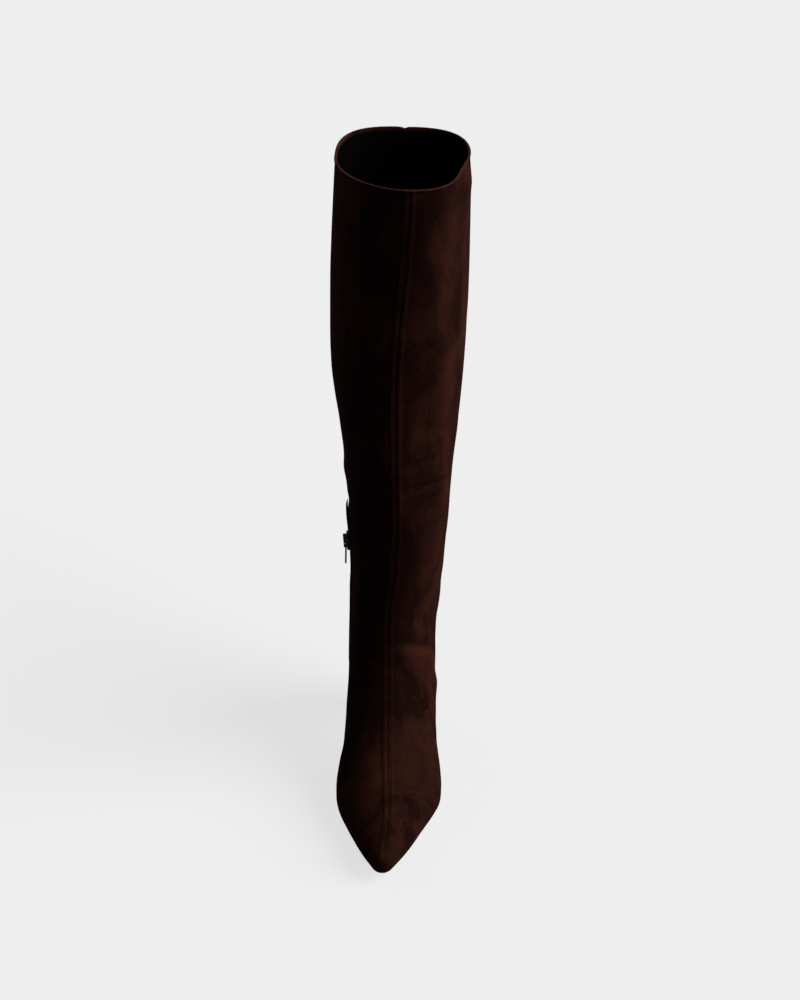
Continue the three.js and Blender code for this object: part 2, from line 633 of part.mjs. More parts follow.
/** The slider: a tapered plate, its neck over the teeth and the bridge that holds the pull tab. */
function sliderSolid() {
  const { up, side, out, centre } = sliderFrame();
  const [h, t, b] = [sliderLength / 2, sliderTopWidth / 2, sliderBottomWidth / 2];
  const corners = [
    [-b * 0.7, -h],
    [b * 0.7, -h],
    [b, -h * 0.75],
    [t, h * 0.45],
    [t * 0.75, h * 0.92],
    [t * 0.3, h],
    [-t * 0.3, h],
    [-t * 0.75, h * 0.92],
    [-t, h * 0.45],
    [-b, -h * 0.75],
  ];
  const shape = new THREE.Shape(corners.map(([x, y]) => new THREE.Vector2(x, y)));
  const plate = new THREE.ExtrudeGeometry(shape, {
    depth: sliderThickness - 0.8,
    bevelEnabled: true,
    bevelThickness: 0.4,
    bevelSize: 0.4,
    bevelOffset: -0.4,
    bevelSegments: 1,
  });
  plate.translate(0, 0, sliderLift + 0.4);
  const [neckX, neckY] = [sliderNeckWidth / 2, sliderNeckLength / 2];
  const neck = boxSolid([-neckX, -neckY, fit - chainSink], [neckX, neckY, sliderLift + sliderThickness / 2]);
  const tunnel = tabPinRadius + pinPlay;
  const [bridgeX, bridgeY] = [bridgeWidth / 2, bridgeLength / 2];
  const bridgeTop = plateTop + 2 * tunnel + bridgeThickness;
  const bridge = boxSolid([-bridgeX, -bridgeY, plateTop - 0.5], [bridgeX, bridgeY, bridgeTop]);
  const holeEnd = [-hingeDrop - tunnel, tunnel - hingeDrop + fit];
  const hole = boxSolid([-reach, holeEnd[0], plateTop], [reach, holeEnd[1], plateTop + 2 * tunnel]);
  const local = new THREE.Matrix4().makeBasis(side, up, out).setPosition(centre);
  const solid = solidOf(plate).add(neck).add(bridge.subtract(hole));
  return solid.transform(local.toArray());
}

/** The pull tab, hanging from the slider's bridge by the bar of its eye. */
function tabSolid() {
  const { up, out, centre } = sliderFrame();
  const hinge = centre.clone().addScaledVector(out, hingeLift).addScaledVector(up, -hingeDrop);
  const half = tabThickness / 2;
  const bar = new THREE.CylinderGeometry(tabPinRadius, tabPinRadius, tabWidth, 12);
  const [w, e] = [tabWidth / 2, tabEndWidth / 2];
  const outline = [
    [-w, 0],
    [-w, -tabEyeReach - 2],
    [-e, -tabLength + 2.4],
    [-e * 0.8, -tabLength + 0.7],
    [-e * 0.35, -tabLength],
    [e * 0.35, -tabLength],
    [e * 0.8, -tabLength + 0.7],
    [e, -tabLength + 2.4],
    [w, -tabEyeReach - 2],
    [w, 0],
  ];
  const shape = new THREE.Shape(outline.map(([y, z]) => new THREE.Vector2(y, z)));
  const plate = new THREE.ExtrudeGeometry(shape, { depth: tabThickness, bevelEnabled: false });
  plate.applyMatrix4(new THREE.Matrix4().set(0, 0, 1, -half, 1, 0, 0, 0, 0, 1, 0, 0, 0, 0, 0, 1));
  const eyeHalf = bridgeWidth / 2 + pinPlay;
  const eye = boxSolid([-reach, -eyeHalf, -tabEyeReach], [reach, eyeHalf, reach]);
  const solid = solidOf(plate).subtract(eye).add(solidOf(bar));
  return solid.translate(hinge.toArray());
}

/** A named mesh with its own material from a manifold solid. */
function meshOf(name, solid, color, roughness, metalness = 0) {
  const data = solid.getMesh();
  const loose = new THREE.BufferGeometry();
  loose.setAttribute("position", new THREE.BufferAttribute(new Float32Array(data.vertProperties), 3));
  loose.setIndex(new THREE.BufferAttribute(new Uint32Array(data.triVerts), 1));
  loose.computeVertexNormals();
  const mesh = new THREE.Mesh(loose, new THREE.MeshStandardMaterial({ color, roughness, metalness }));
  mesh.name = name;
  return mesh;
}

const feather = outlineAt(0);
const group = new THREE.Group();
group.name = "tall_boot";
group.add(
  meshOf("upper", upperSolid(feather), 0x2e1a14, 0.95),
  meshOf("outsole", soleSolid(feather), 0x17120f, 0.8),
  meshOf("insole", insoleSolid(feather), 0x1d1512, 0.9),
  meshOf("heel_block", heelSolid(feather), 0x2e1a14, 0.95),
  meshOf("heel_top_piece", topPieceSolid(feather), 0x141211, 0.85),
  meshOf("zip_tape", tapeSolid(), 0x15100e, 0.9),
  meshOf("zip_chain", chainSolid(), 0x1a1716, 0.5, 0.2),
  meshOf("zip_slider", sliderSolid(), 0x121112, 0.4, 0.6),
  meshOf("zip_pull_tab", tabSolid(), 0x121112, 0.4, 0.6),
);

export default group;
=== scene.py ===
"""Dresses the tall suede boot: upper, sole, heel, zip and their finishes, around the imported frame."""

from __future__ import annotations

import json
import logging
import math
from dataclasses import dataclass, field
from enum import Enum

import bpy
import numpy as np
from mathutils import Matrix, Vector, noise

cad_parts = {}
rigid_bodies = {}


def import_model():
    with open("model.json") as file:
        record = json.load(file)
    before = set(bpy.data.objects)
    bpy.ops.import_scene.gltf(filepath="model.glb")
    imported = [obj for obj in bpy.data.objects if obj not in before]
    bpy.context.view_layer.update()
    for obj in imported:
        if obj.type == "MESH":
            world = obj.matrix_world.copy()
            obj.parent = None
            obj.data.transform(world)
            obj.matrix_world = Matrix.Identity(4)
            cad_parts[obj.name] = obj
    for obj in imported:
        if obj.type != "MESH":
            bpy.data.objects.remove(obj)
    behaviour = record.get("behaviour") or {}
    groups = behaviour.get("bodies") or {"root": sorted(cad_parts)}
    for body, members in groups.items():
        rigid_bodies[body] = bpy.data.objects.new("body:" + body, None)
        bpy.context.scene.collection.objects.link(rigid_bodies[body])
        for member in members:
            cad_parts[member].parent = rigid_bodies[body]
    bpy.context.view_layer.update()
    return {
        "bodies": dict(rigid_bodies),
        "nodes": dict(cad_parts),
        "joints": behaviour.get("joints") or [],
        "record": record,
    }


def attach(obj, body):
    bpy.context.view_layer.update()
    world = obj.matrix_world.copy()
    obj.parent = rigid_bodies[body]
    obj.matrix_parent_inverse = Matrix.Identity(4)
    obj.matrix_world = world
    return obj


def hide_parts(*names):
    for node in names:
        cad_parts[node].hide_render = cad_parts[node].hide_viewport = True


log = logging.getLogger("tall_boot")

MM = 0.001
FAR = 99.0  # a distance in millimetres beyond the reach of any seam
HALVINGS = 26  # steps that find a place on the form to far less than a micrometre
WALL_THINS = (9.0, 17.0)  # places between which the wall thins from the foot's to the shaft's

Colour = tuple[float, float, float]
Socket = bpy.types.NodeSocket


class Body(Enum):
    """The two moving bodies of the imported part."""

    BOOT = "boot"
    PULL = "zip_pull"


class By(Enum):
    """What a profile point of a ring is measured on."""

    FOOT = "foot"
    LEG = "leg"


@dataclass(frozen=True)
class Sizes:
    """The driving sizes of last and leg, in millimetres, as in the part's own source."""

    foot_length: float = 250.0
    ball_width: float = 82.0
    instep_height: float = 48.0
    heel_height: float = 55.0
    toe_spring: float = 9.5
    shaft_height: float = 430.0
    calf_width: float = 102.0
    calf_depth: float = 137.0
    heel_setback: float = 27.0
    leg_setback: float = 45.0
    foot_wall: float = 2.2
    shaft_wall: float = 1.6
    fit: float = 0.3
    sole_thickness: float = 3.0


SIZES = Sizes()


@dataclass(frozen=True)
class Ring:
    """One ring of the last or leg: a plane from its front point to its back point, as shares of sizes."""

    front_by: By
    front_a: float
    front_b: float
    back_by: By
    back_a: float
    back_b: float
    half: float
    middle: float
    seam: float
    level: float
    crown: float
    base: float


# Front and back points, half width, middle, front seam, widest level, fullness above and below
RINGS: tuple[Ring, ...] = (
    Ring(By.FOOT, 0.999, 0.15, By.FOOT, 1.0, -0.04, 0.036, -0.034, 0, 0.6, 2, 2.4),
    Ring(By.FOOT, 0.987, 0.235, By.FOOT, 0.987, -0.07, 0.082, -0.033, 0.004, 0.62, 2, 3),
    Ring(By.FOOT, 0.956, 0.35, By.FOOT, 0.956, -0.07, 0.13, -0.032, 0.018, 0.63, 2, 3.5),
    Ring(By.FOOT, 0.908, 0.47, By.FOOT, 0.908, -0.07, 0.198, -0.03, 0.034, 0.64, 2, 4),
    Ring(By.FOOT, 0.848, 0.6, By.FOOT, 0.848, -0.07, 0.276, -0.027, 0.036, 0.65, 2, 4.5),
    Ring(By.FOOT, 0.78, 0.735, By.FOOT, 0.78, -0.07, 0.357, -0.024, 0.027, 0.66, 2, 5),
    Ring(By.FOOT, 0.712, 0.865, By.FOOT, 0.712, -0.07, 0.444, -0.014, 0.006, 0.67, 2, 5),
    Ring(By.FOOT, 0.648, 1.0, By.FOOT, 0.648, -0.07, 0.496, 0.001, -0.02, 0.68, 1.95, 5),
    Ring(By.FOOT, 0.592, 1.145, By.FOOT, 0.584, -0.07, 0.492, 0.004, -0.028, 0.68, 1.9, 5),
    Ring(By.FOOT, 0.548, 1.29, By.FOOT, 0.512, -0.07, 0.458, 0.006, -0.03, 0.67, 1.88, 5),
    Ring(By.FOOT, 0.508, 1.43, By.FOOT, 0.436, -0.07, 0.438, 0.003, -0.033, 0.65, 1.88, 5),
    Ring(By.LEG, 0.093, 0.533, By.FOOT, 0.356, -0.07, 0.436, 0.004, -0.038, 0.62, 1.92, 4.8),
    Ring(By.LEG, 0.12, 0.485, By.FOOT, 0.276, -0.07, 0.424, 0.002, -0.038, 0.58, 1.98, 4.5),
    Ring(By.LEG, 0.146, 0.453, By.FOOT, 0.188, -0.07, 0.42, 0.0, -0.04, 0.55, 2.04, 4.1),
    Ring(By.LEG, 0.172, 0.432, By.FOOT, 0.1, -0.07, 0.419, 0.0, -0.043, 0.52, 2.1, 3.5),
    Ring(By.LEG, 0.197, 0.422, By.FOOT, 0.03, -0.06, 0.42, 0.001, -0.04, 0.5, 2.1, 2.9),
    Ring(By.LEG, 0.221, 0.416, By.LEG, 0.013, -0.338, 0.422, 0.003, -0.034, 0.5, 2.1, 2.5),
    Ring(By.LEG, 0.247, 0.412, By.LEG, 0.049, -0.35, 0.431, 0.012, -0.03, 0.5, 2.1, 2.35),
    Ring(By.LEG, 0.275, 0.41, By.LEG, 0.093, -0.335, 0.437, 0.018, -0.016, 0.5, 2.1, 2.25),
    Ring(By.LEG, 0.31, 0.409, By.LEG, 0.147, -0.303, 0.354, 0.022, -0.016, 0.5, 2.1, 2.2),
    Ring(By.LEG, 0.352, 0.409, By.LEG, 0.212, -0.27, 0.364, 0.021, -0.009, 0.5, 2.1, 2.15),
    Ring(By.LEG, 0.403, 0.412, By.LEG, 0.291, -0.262, 0.384, 0.018, -0.007, 0.5, 2.1, 2.1),
    Ring(By.LEG, 0.468, 0.422, By.LEG, 0.387, -0.298, 0.397, 0.02, -0.02, 0.5, 2.1, 2.1),
    Ring(By.LEG, 0.552, 0.438, By.LEG, 0.501, -0.381, 0.44, 0.008, -0.018, 0.5, 2.1, 2.1),
    Ring(By.LEG, 0.65, 0.46, By.LEG, 0.624, -0.455, 0.483, -0.01, -0.006, 0.5, 2.1, 2.1),
    Ring(By.LEG, 0.762, 0.48, By.LEG, 0.752, -0.499, 0.497, -0.011, 0.01, 0.5, 2.1, 2.15),
    Ring(By.LEG, 0.878, 0.493, By.LEG, 0.875, -0.511, 0.49, -0.009, 0.042, 0.5, 2.1, 2.5),
    Ring(By.LEG, 1.005, 0.496, By.LEG, 1.006, -0.504, 0.473, -0.001, 0.056, 0.5, 2.1, 2.9),
)
FIRST_CALF_RING = 19
LAST_RING = len(RINGS) - 1

# Side view of the foot's bottom: share of the foot's length, of the heel's rise and of the toe's spring
BOTTOM_LINE: tuple[tuple[float, float, float], ...] = (
    (0.0, 1.0, 0.0),
    (0.1, 0.975, 0.0),
    (0.2, 0.895, 0.0),
    (0.28, 0.765, 0.0),
    (0.36, 0.585, 0.0),
    (0.44, 0.385, 0.0),
    (0.52, 0.195, 0.0),
    (0.58, 0.08, 0.0),
    (0.64, 0.0, 0.0),
    (0.75, 0.0, 0.0),
    (0.83, 0.0, 0.17),
    (0.91, 0.0, 0.5),
    (1.0, 0.0, 1.0),
)


def smooth_step(low: float, high: float, value: np.ndarray) -> np.ndarray:
    """Eased share of the way from low to high.

    Args:
        low: value where the share is 0.
        high: value where the share is 1.
        value: values to read.

    Returns:
        Shares from 0 to 1.
    """
    share = np.clip((value - low) / (high - low), 0.0, 1.0)
    return share * share * (3.0 - 2.0 * share)


class BootForm:
    """The boot's outside as rings, with points anywhere on it, in millimetres."""

    def __init__(self, sizes: Sizes) -> None:
        """Keeps the sizes and works out the rings' numbers.

        Args:
            sizes: driving sizes of last and leg.
        """
        self.sizes = sizes
        self.table = np.array([self._numbers(i, ring) for i, ring in enumerate(RINGS)])

    def bottom_height(self, y: np.ndarray) -> np.ndarray:
        """Height of the upper's bottom over the floor.

        Args:
            y: places along the foot.

        Returns:
            Heights at those places.
        """
        s = self.sizes
        along = (s.heel_setback - np.asarray(y, dtype=float)) / s.foot_length
        flat = s.sole_thickness + s.fit
        rise = self._read_line(1, along) * (s.heel_height - flat)
        return flat + rise + self._read_line(2, along) * s.toe_spring

    def _read_line(self, column: int, along: np.ndarray) -> np.ndarray:
        """A column of the bottom line, by a curve that never overshoots its rows.

        Args:
            column: 1 for the heel's rise, 2 for the toe's spring.
            along: shares of the foot's length from its back.

        Returns:
            The column's values there.
        """
        xs = np.array([row[0] for row in BOTTOM_LINE])
        ys = np.array([row[column] for row in BOTTOM_LINE])
        slopes = np.diff(ys) / np.diff(xs)
        before, after = slopes[:-1], slopes[1:]
        product = before * after
        safe = np.where(product > 0, before + after, 1.0)
        inner = np.where(product > 0, 2 * product / safe, 0.0)
        tangents = np.concatenate([[slopes[0]], inner, [slopes[-1]]])
        at = np.clip(along, xs[0], xs[-1])
        row = np.clip(np.searchsorted(xs, at, side="right") - 1, 0, len(xs) - 2)
        span = xs[row + 1] - xs[row]
        u = (at - xs[row]) / span
        rise = ys[row + 1] - ys[row]
        a = tangents[row] * span - rise
        b = rise - tangents[row + 1] * span
        return ys[row] + rise * u + u * (1 - u) * (a * (1 - u) + b * u)

    def _foot(self, along: float, lift: float) -> tuple[float, float]:
        """A profile point by the foot's shares: along it, and lift in instep heights over its bottom."""
        y = self.sizes.heel_setback - along * self.sizes.foot_length
        return y, float(self.bottom_height(np.array(y))) + lift * self.sizes.instep_height

    def _leg(self, up: float, fore: float) -> tuple[float, float]:
        """A profile point by the leg's shares: up the shaft, and fore in calf depths."""
        s = self.sizes
        return s.heel_setback - s.leg_setback - fore * s.calf_depth, s.heel_height + up * s.shaft_height

    def _numbers(self, index: int, ring: Ring) -> list[float]:
        """A ring's numbers, its lengths in millimetres.

        Args:
            index: the ring's place in the table.
            ring: the ring.

        Returns:
            Front y and z, back y and z, half width, middle, seam, level, crown and base.
        """
        point = {By.FOOT: self._foot, By.LEG: self._leg}
        wide = self.sizes.ball_width if index < FIRST_CALF_RING else self.sizes.calf_width
        front = point[ring.front_by](ring.front_a, ring.front_b)
        back = point[ring.back_by](ring.back_a, ring.back_b)
        widths = [ring.half * wide, ring.middle * wide, ring.seam * wide]
        return [*front, *back, *widths, ring.level, ring.crown, ring.base]

    def forms(self, at: np.ndarray) -> np.ndarray:
        """The rings' numbers at places between them, by a smooth curve through four.

        Args:
            at: places, counted in rings from the toe.

        Returns:
            One row of ten numbers for each place.
        """
        at = np.asarray(at, dtype=float)
        row = np.clip(np.floor(at).astype(int), 0, LAST_RING - 1)
        u = (at - row)[:, None]
        a, b, c, d = (self.table[np.clip(row + k, 0, LAST_RING)] for k in (-1, 0, 1, 2))
        return b + 0.5 * u * (c - a + u * (2 * a - 5 * b + 4 * c - d + u * (3 * (b - c) + d - a)))

    def wall(self, at: np.ndarray) -> np.ndarray:
        """Thickness of the upper's wall at places along the boot."""
        share = smooth_step(*WALL_THINS, np.asarray(at, dtype=float))
        return self.sizes.foot_wall + (self.sizes.shaft_wall - self.sizes.foot_wall) * share


@dataclass(frozen=True)
class Section:
    """How a ring is divided: distances from the two seams in millimetres, and steps between them."""

    front_gaps: tuple[float, ...] = (0.45, 0.95, 1.5, 2.0, 2.4, 2.8, 3.25, 3.8, 4.6, 5.8)
    side_steps: int = 72
    back_gaps: tuple[float, ...] = (3.6, 3.0, 2.2, 1.2, 0.5)

    @property
    def side_count(self) -> int:
        """Points between the two seams, on one side."""
        return len(self.front_gaps) + self.side_steps + len(self.back_gaps)

    @property
    def count(self) -> int:
        """Points all the way round."""
        return 2 * self.side_count + 2


@dataclass(frozen=True)
class SeamProfile:
    """Cross-section of a closed seam: a groove between two soft ridges, in millimetres.

    The ridges begin to fall at a share of the reach, the shoulder.
    """

    groove: float
    reach: float
    height: float
    shoulder: float = 0.62

    def rise(self, gap: np.ndarray) -> np.ndarray:
        """Height of the seam over the face at distances from its middle.

        Args:
            gap: distances from the seam's middle.

        Returns:
            Heights at those distances.
        """
        up = smooth_step(0.0, self.groove, gap)
        down = smooth_step(self.reach * self.shoulder, self.reach, gap)
        return self.height * (up - down) * (gap < self.reach)


FRONT_SEAM = SeamProfile(groove=1.1, reach=4.6, height=0.6)
BACK_SEAM = SeamProfile(groove=1.1, reach=3.4, height=0.45)


def ring_rows(
    form: BootForm, at: np.ndarray, grow: np.ndarray, section: Section, seams: float | np.ndarray
) -> np.ndarray:
    """Rings of points on the boot's face, or beside it.

    Args:
        form: the boot's form.
        at: places of the rings.
        grow: how far each ring stands outside the face.
        section: how each ring is divided.
        seams: share of the seams' ridges that is drawn.

    Returns:
        Points of shape (rings, points, 3), from the front seam over the inner side to the back seam and on.
    """
    forms = form.forms(at)
    fy, fz, by, bz, half, middle, seam, level, crown, base = (forms[:, [k]] for k in range(10))
    squeeze = np.minimum(1.0, half * 0.5 / section.front_gaps[-1])
    front = np.array(section.front_gaps)[None, :] * squeeze
    back = np.array(section.back_gaps)[None, :] * squeeze
    w_front, w_back = front / half, back / half
    share_front = level * (1 - (1 - w_front**crown) ** (1 / crown))
    share_back = level + (1 - level) * (1 - w_back**base) ** (1 / base)
    start = np.arcsin(w_front[:, [-1]] ** (crown / 2))
    end = math.pi - np.arcsin(w_back[:, [0]] ** (base / 2))
    steps = (np.arange(1, section.side_steps + 1) / (section.side_steps + 1))[None, :]
    angle = start + (end - start) * steps
    power = np.where(angle < math.pi / 2, crown, base)
    away = np.abs(np.cos(angle)) ** (2 / power)
    share_side = np.where(angle < math.pi / 2, level * (1 - away), level + (1 - level) * away)
    w_side = np.sin(angle) ** (2 / power)
    share = np.concatenate([share_front, share_side, share_back], axis=1)
    width = np.concatenate([w_front, w_side, w_back], axis=1)
    blank = np.zeros_like(share_side)
    rise = np.concatenate([FRONT_SEAM.rise(front), blank, BACK_SEAM.rise(back)], axis=1) * seams
    length = np.hypot(by - fy, bz - fz)
    ends = np.zeros_like(half)
    all_share = np.concatenate([ends, share, ends + 1, share[:, ::-1]], axis=1)
    sign_width = np.concatenate([ends, -width, ends, width[:, ::-1]], axis=1)
    all_rise = np.concatenate([ends, rise, ends, rise[:, ::-1]], axis=1)
    to_seam = np.maximum(1 - all_share / level, 0)
    x = middle + seam * to_seam**2 + half * sign_width
    d = all_share * length
    dx = np.roll(x, -1, axis=1) - np.roll(x, 1, axis=1)
    dd = np.roll(d, -1, axis=1) - np.roll(d, 1, axis=1)
    size = np.hypot(dx, dd)
    move = all_rise + np.asarray(grow, dtype=float).reshape(-1, 1)
    x = x - dd / size * move
    d = d + dx / size * move
    y = fy + (by - fy) / length * d
    z = fz + (bz - fz) / length * d
    return np.stack([x, y, z], axis=2)


def deselect_all() -> None:
    """Leaves object mode with nothing selected."""
    if bpy.context.object and bpy.context.object.mode != "OBJECT":
        bpy.ops.object.mode_set(mode="OBJECT")
    bpy.ops.object.select_all(action="DESELECT")


def shell_of_rows(name: str, rows: np.ndarray) -> bpy.types.Object:
    """Bends a sphere's own rows and columns onto rows of points, so that the piece is closed.

    Args:
        name: name of the piece.
        rows: points in millimetres, of shape (rows, columns, 3). The first and the last row close
            on their middles.

    Returns:
        The piece, at the origin, in metres.
    """
    count, columns = rows.shape[0], rows.shape[1]
    deselect_all()
    bpy.ops.mesh.primitive_uv_sphere_add(segments=columns, ring_count=count + 1, radius=1.0)
    piece = bpy.context.object
    piece.name = name
    mesh = piece.data
    mesh.name = name
    flat = np.empty(len(mesh.vertices) * 3)
    mesh.vertices.foreach_get("co", flat)
    co = flat.reshape(-1, 3)
    polar = np.arccos(np.clip(co[:, 2] / np.linalg.norm(co, axis=1), -1, 1))
    row = np.rint(polar * (count + 1) / math.pi).astype(int)
    turn = np.rint(np.arctan2(co[:, 1], co[:, 0]) / (2 * math.pi) * columns).astype(int) % columns
    placed = np.empty_like(co)
    inside = (row > 0) & (row <= count)
    placed[inside] = rows[row[inside] - 1, turn[inside]]
    placed[row == 0] = rows[0].mean(axis=0)
    placed[row > count] = rows[-1].mean(axis=0)
    mesh.vertices.foreach_set("co", (placed * MM).ravel())
    order = mesh.attributes.new("shell_row", "INT", "POINT")
    order.data.foreach_set("value", row.astype(np.int32))
    mesh.update()
    return piece


def turn_faces_outwards(piece: bpy.types.Object) -> None:
    """Recalculates a closed piece's normals so that its faces point outwards.

    Args:
        piece: the closed piece.
    """
    deselect_all()
    piece.select_set(True)
    bpy.context.view_layer.objects.active = piece
    bpy.ops.object.mode_set(mode="EDIT")
    bpy.ops.mesh.select_all(action="SELECT")
    bpy.ops.mesh.normals_make_consistent(inside=False)
    bpy.ops.object.mode_set(mode="OBJECT")


def smooth_by_angle(piece: bpy.types.Object, degrees: float) -> None:
    """Shades a piece smooth, with crisp edges where its faces turn by more than an angle.

    Args:
        piece: the piece.
        degrees: the angle.
    """
    deselect_all()
    piece.select_set(True)
    bpy.context.view_layer.objects.active = piece
    bpy.ops.object.shade_smooth_by_angle(angle=math.radians(degrees))


def grid_normals(rows: np.ndarray) -> np.ndarray:
    """Outward directions at the points of a tube of rows.

    Args:
        rows: points of shape (rows, columns, 3), columns running round the tube.

    Returns:
        Unit directions of the same shape.
    """
    along = np.gradient(rows, axis=0)
    around = np.roll(rows, -1, axis=1) - np.roll(rows, 1, axis=1)
    normal = np.cross(along, around)
    return normal / np.maximum(np.linalg.norm(normal, axis=2, keepdims=True), 1e-9)


@dataclass(frozen=True)
class Crease:
    """A soft trough in the upper, with the ridge that the pushed leather makes beside it.

    Each point is a place along the boot in rings and a share of the way round from the front seam,
    below zero on the inner side and above zero on the outer side. The ridge's height is a share of
    the depth, its distance and its spread are shares of the width, and both fade towards the ends.
    """

    points: tuple[tuple[float, float], ...]
    width: float
    depth: float
    ridge: float = 0.4
    ridge_distance: float = 2.0
    ridge_spread: float = 1.1
    fade: float = 0.7


# Creases that the photo shows, then the small ones of a soft shaft that has been worn
CREASES: tuple[Crease, ...] = (
    Crease(((12.5, 0.07), (12.9, 0.2), (13.2, 0.33), (13.4, 0.46)), 3.8, 2.1, 0.55),
    Crease(((11.9, 0.36), (11.9, 0.45), (11.8, 0.54)), 7.5, -1.9, 0.0),
    Crease(((9.9, 0.18), (9.6, 0.33), (9.4, 0.47)), 4.0, 1.3, 0.4),
    Crease(((21.75, 0.12), (21.9, 0.22), (21.95, 0.33), (22.0, 0.46)), 3.2, 1.6, 0.6),
    Crease(((22.1, -0.36), (22.1, -0.5), (22.0, -0.62)), 9.0, -1.5, 0.0),
    Crease(((21.35, -0.36), (21.35, -0.5), (21.35, -0.62)), 5.5, 1.0, 0.0),
    Crease(((22.4, 0.13), (22.52, 0.25), (22.62, 0.4)), 3.6, 0.9, 0.55),
    Crease(((23.3, 0.16), (23.1, 0.34), (23.15, 0.5)), 5.0, 0.7, 0.5),
    Crease(((11.9, -0.08), (12.3, -0.24), (12.9, -0.42)), 4.2, 1.1, 0.45),
    Crease(((14.5, 0.1), (14.8, 0.26), (15.1, 0.46)), 4.5, 0.8, 0.4),
    Crease(((24.3, -0.2), (24.2, -0.42)), 8.0, 0.9, 0.4),
    Crease(((18.2, 0.16), (18.5, 0.34), (18.4, 0.56)), 5.5, 0.6, 0.4),
    Crease(((17.0, -0.12), (17.4, -0.3)), 5.0, 0.6, 0.4),
    Crease(((14.9, 0.62), (15.3, 0.8), (15.5, 0.95)), 5.5, 0.9, 0.4),
    Crease(((13.9, -0.62), (14.3, -0.8), (14.6, -0.95)), 5.0, 0.7, 0.4),
    Crease(((16.6, -0.66), (16.9, -0.84), (17.1, -0.97)), 6.0, 0.8, 0.4),
    Crease(((18.6, 0.74), (19.0, 0.95)), 6.0, 0.6, 0.4),
    Crease(((10.6, -0.1), (10.8, -0.3)), 4.5, 0.7, 0.4),
    Crease(((10.9, 0.08), (11.0, 0.24)), 4.0, 0.6, 0.4),
    Crease(((25.4, 0.22), (24.6, 0.34), (24.0, 0.4)), 7.0, 0.6, 0.3),
    Crease(((24.8, 0.62), (24.6, 0.84)), 9.0, 0.7, 0.4),
)


@dataclass(frozen=True)
class ToneBand:
    """A soft band on the suede, with places as for a crease: above zero lighter, below zero darker. Most
    are strokes across the nap; some are painted shade.
    """

    points: tuple[tuple[float, float], ...]
    width: float
    amount: float


# Strokes that the photo shows on the nap, and bands of painted shade where marked below
TONE_BANDS: tuple[ToneBand, ...] = (
    # Partly the mottled nap, partly painted shade where the front of the shaft under the collar turns from
    # the light
    ToneBand(((26.9, 0.25), (26.5, 0.14), (26.1, 0.09)), 15.0, -0.55),
    ToneBand(((25.9, 0.11), (25.5, 0.12), (25.0, 0.13)), 9.0, 0.4),
    ToneBand(((22.3, 0.13), (21.5, 0.13), (20.7, 0.12)), 8.0, 0.35),
    ToneBand(((24.6, 0.25), (23.8, 0.24), (22.9, 0.25)), 9.0, -0.25),
    ToneBand(((16.0, 0.2), (15.0, 0.2), (14.0, 0.2)), 12.0, -0.3),
    ToneBand(((11.2, 0.24), (10.4, 0.22)), 8.0, -0.25),
    ToneBand(((9.0, -0.02), (7.6, 0.0), (6.6, 0.06)), 10.0, -0.3),
    ToneBand(((11.5, 0.36), (10.6, 0.37), (9.5, 0.36)), 6.0, 0.2),
    ToneBand(((7.8, 0.34), (7.0, 0.33)), 6.0, 0.25),
    ToneBand(((26.35, 0.46), (26.0, 0.4)), 11.0, 0.3),
    ToneBand(((25.8, 0.32), (25.5, 0.28)), 9.0, 0.25),
    ToneBand(((26.8, 0.5), (26.6, 0.56)), 8.0, 0.15),
    ToneBand(((24.6, 0.42), (24.0, 0.32)), 10.0, 0.15),
    ToneBand(((23.6, 0.12), (22.9, 0.16)), 8.0, 0.2),
    ToneBand(((21.6, 0.3), (20.9, 0.34)), 9.0, -0.2),
    ToneBand(((19.0, 0.12), (17.4, 0.1)), 8.0, -0.2),
    ToneBand(((13.1, 0.36), (12.2, 0.42), (11.4, 0.46)), 8.0, 0.3),
    ToneBand(((13.9, 0.1), (13.6, 0.3)), 6.0, -0.35),
    ToneBand(((11.9, 0.12), (10.9, 0.2)), 8.0, -0.3),
    ToneBand(((9.7, 0.2), (9.4, 0.4)), 10.0, -0.35),
    ToneBand(((8.6, 0.36), (8.2, 0.5)), 8.0, 0.12),
    ToneBand(((10.5, 0.24), (8.0, 0.32), (4.6, 0.32)), 24.0, -0.34),
    ToneBand(((7.1, 0.52), (6.6, 0.46)), 7.0, -0.25),
    ToneBand(((5.6, 0.14), (4.8, 0.3)), 9.0, -0.2),
    ToneBand(((6.6, -0.14), (5.6, -0.18)), 9.0, 0.18),
    # Painted shade: wide dark bands over the front of the inner side, which faces away from the light
    ToneBand(((11.6, -0.14), (9.2, -0.22), (8.0, -0.4)), 20.0, -0.6),
    ToneBand(((20.0, -0.2), (16.0, -0.2), (12.0, -0.3)), 26.0, -0.5),
    ToneBand(((27.0, -0.12), (24.0, -0.16), (20.5, -0.22)), 29.0, -0.5),
)


@dataclass(frozen=True)
class RimRow:
    """One row of the collar's turned edge.

    It lies a drop under the collar, stands a distance outside the face, and is painted lighter to a share,
    a painted highlight along the collar's top edge.
    """

    drop: float
    grow: float
    painted_highlight: float


# The turned edge, from the face over the top to the facing; the last column is the share of painted
# highlight
RIM: tuple[RimRow, ...] = (
    RimRow(3.4, 0.0, 0.0),
    RimRow(3.05, 0.1, 0.0),
    RimRow(2.75, 0.4, 0.05),
    RimRow(2.2, 0.54, 0.1),
    RimRow(1.5, 0.56, 0.12),
    RimRow(0.85, 0.5, 0.25),
    RimRow(0.4, 0.34, 0.65),
    RimRow(0.12, 0.08, 1.0),
    RimRow(0.0, -0.3, 1.0),
    RimRow(0.0, -0.7, 0.9),
    RimRow(0.1, -1.1, 0.6),
    RimRow(0.4, -1.4, 0.25),
    RimRow(1.0, -1.55, 0.05),
)


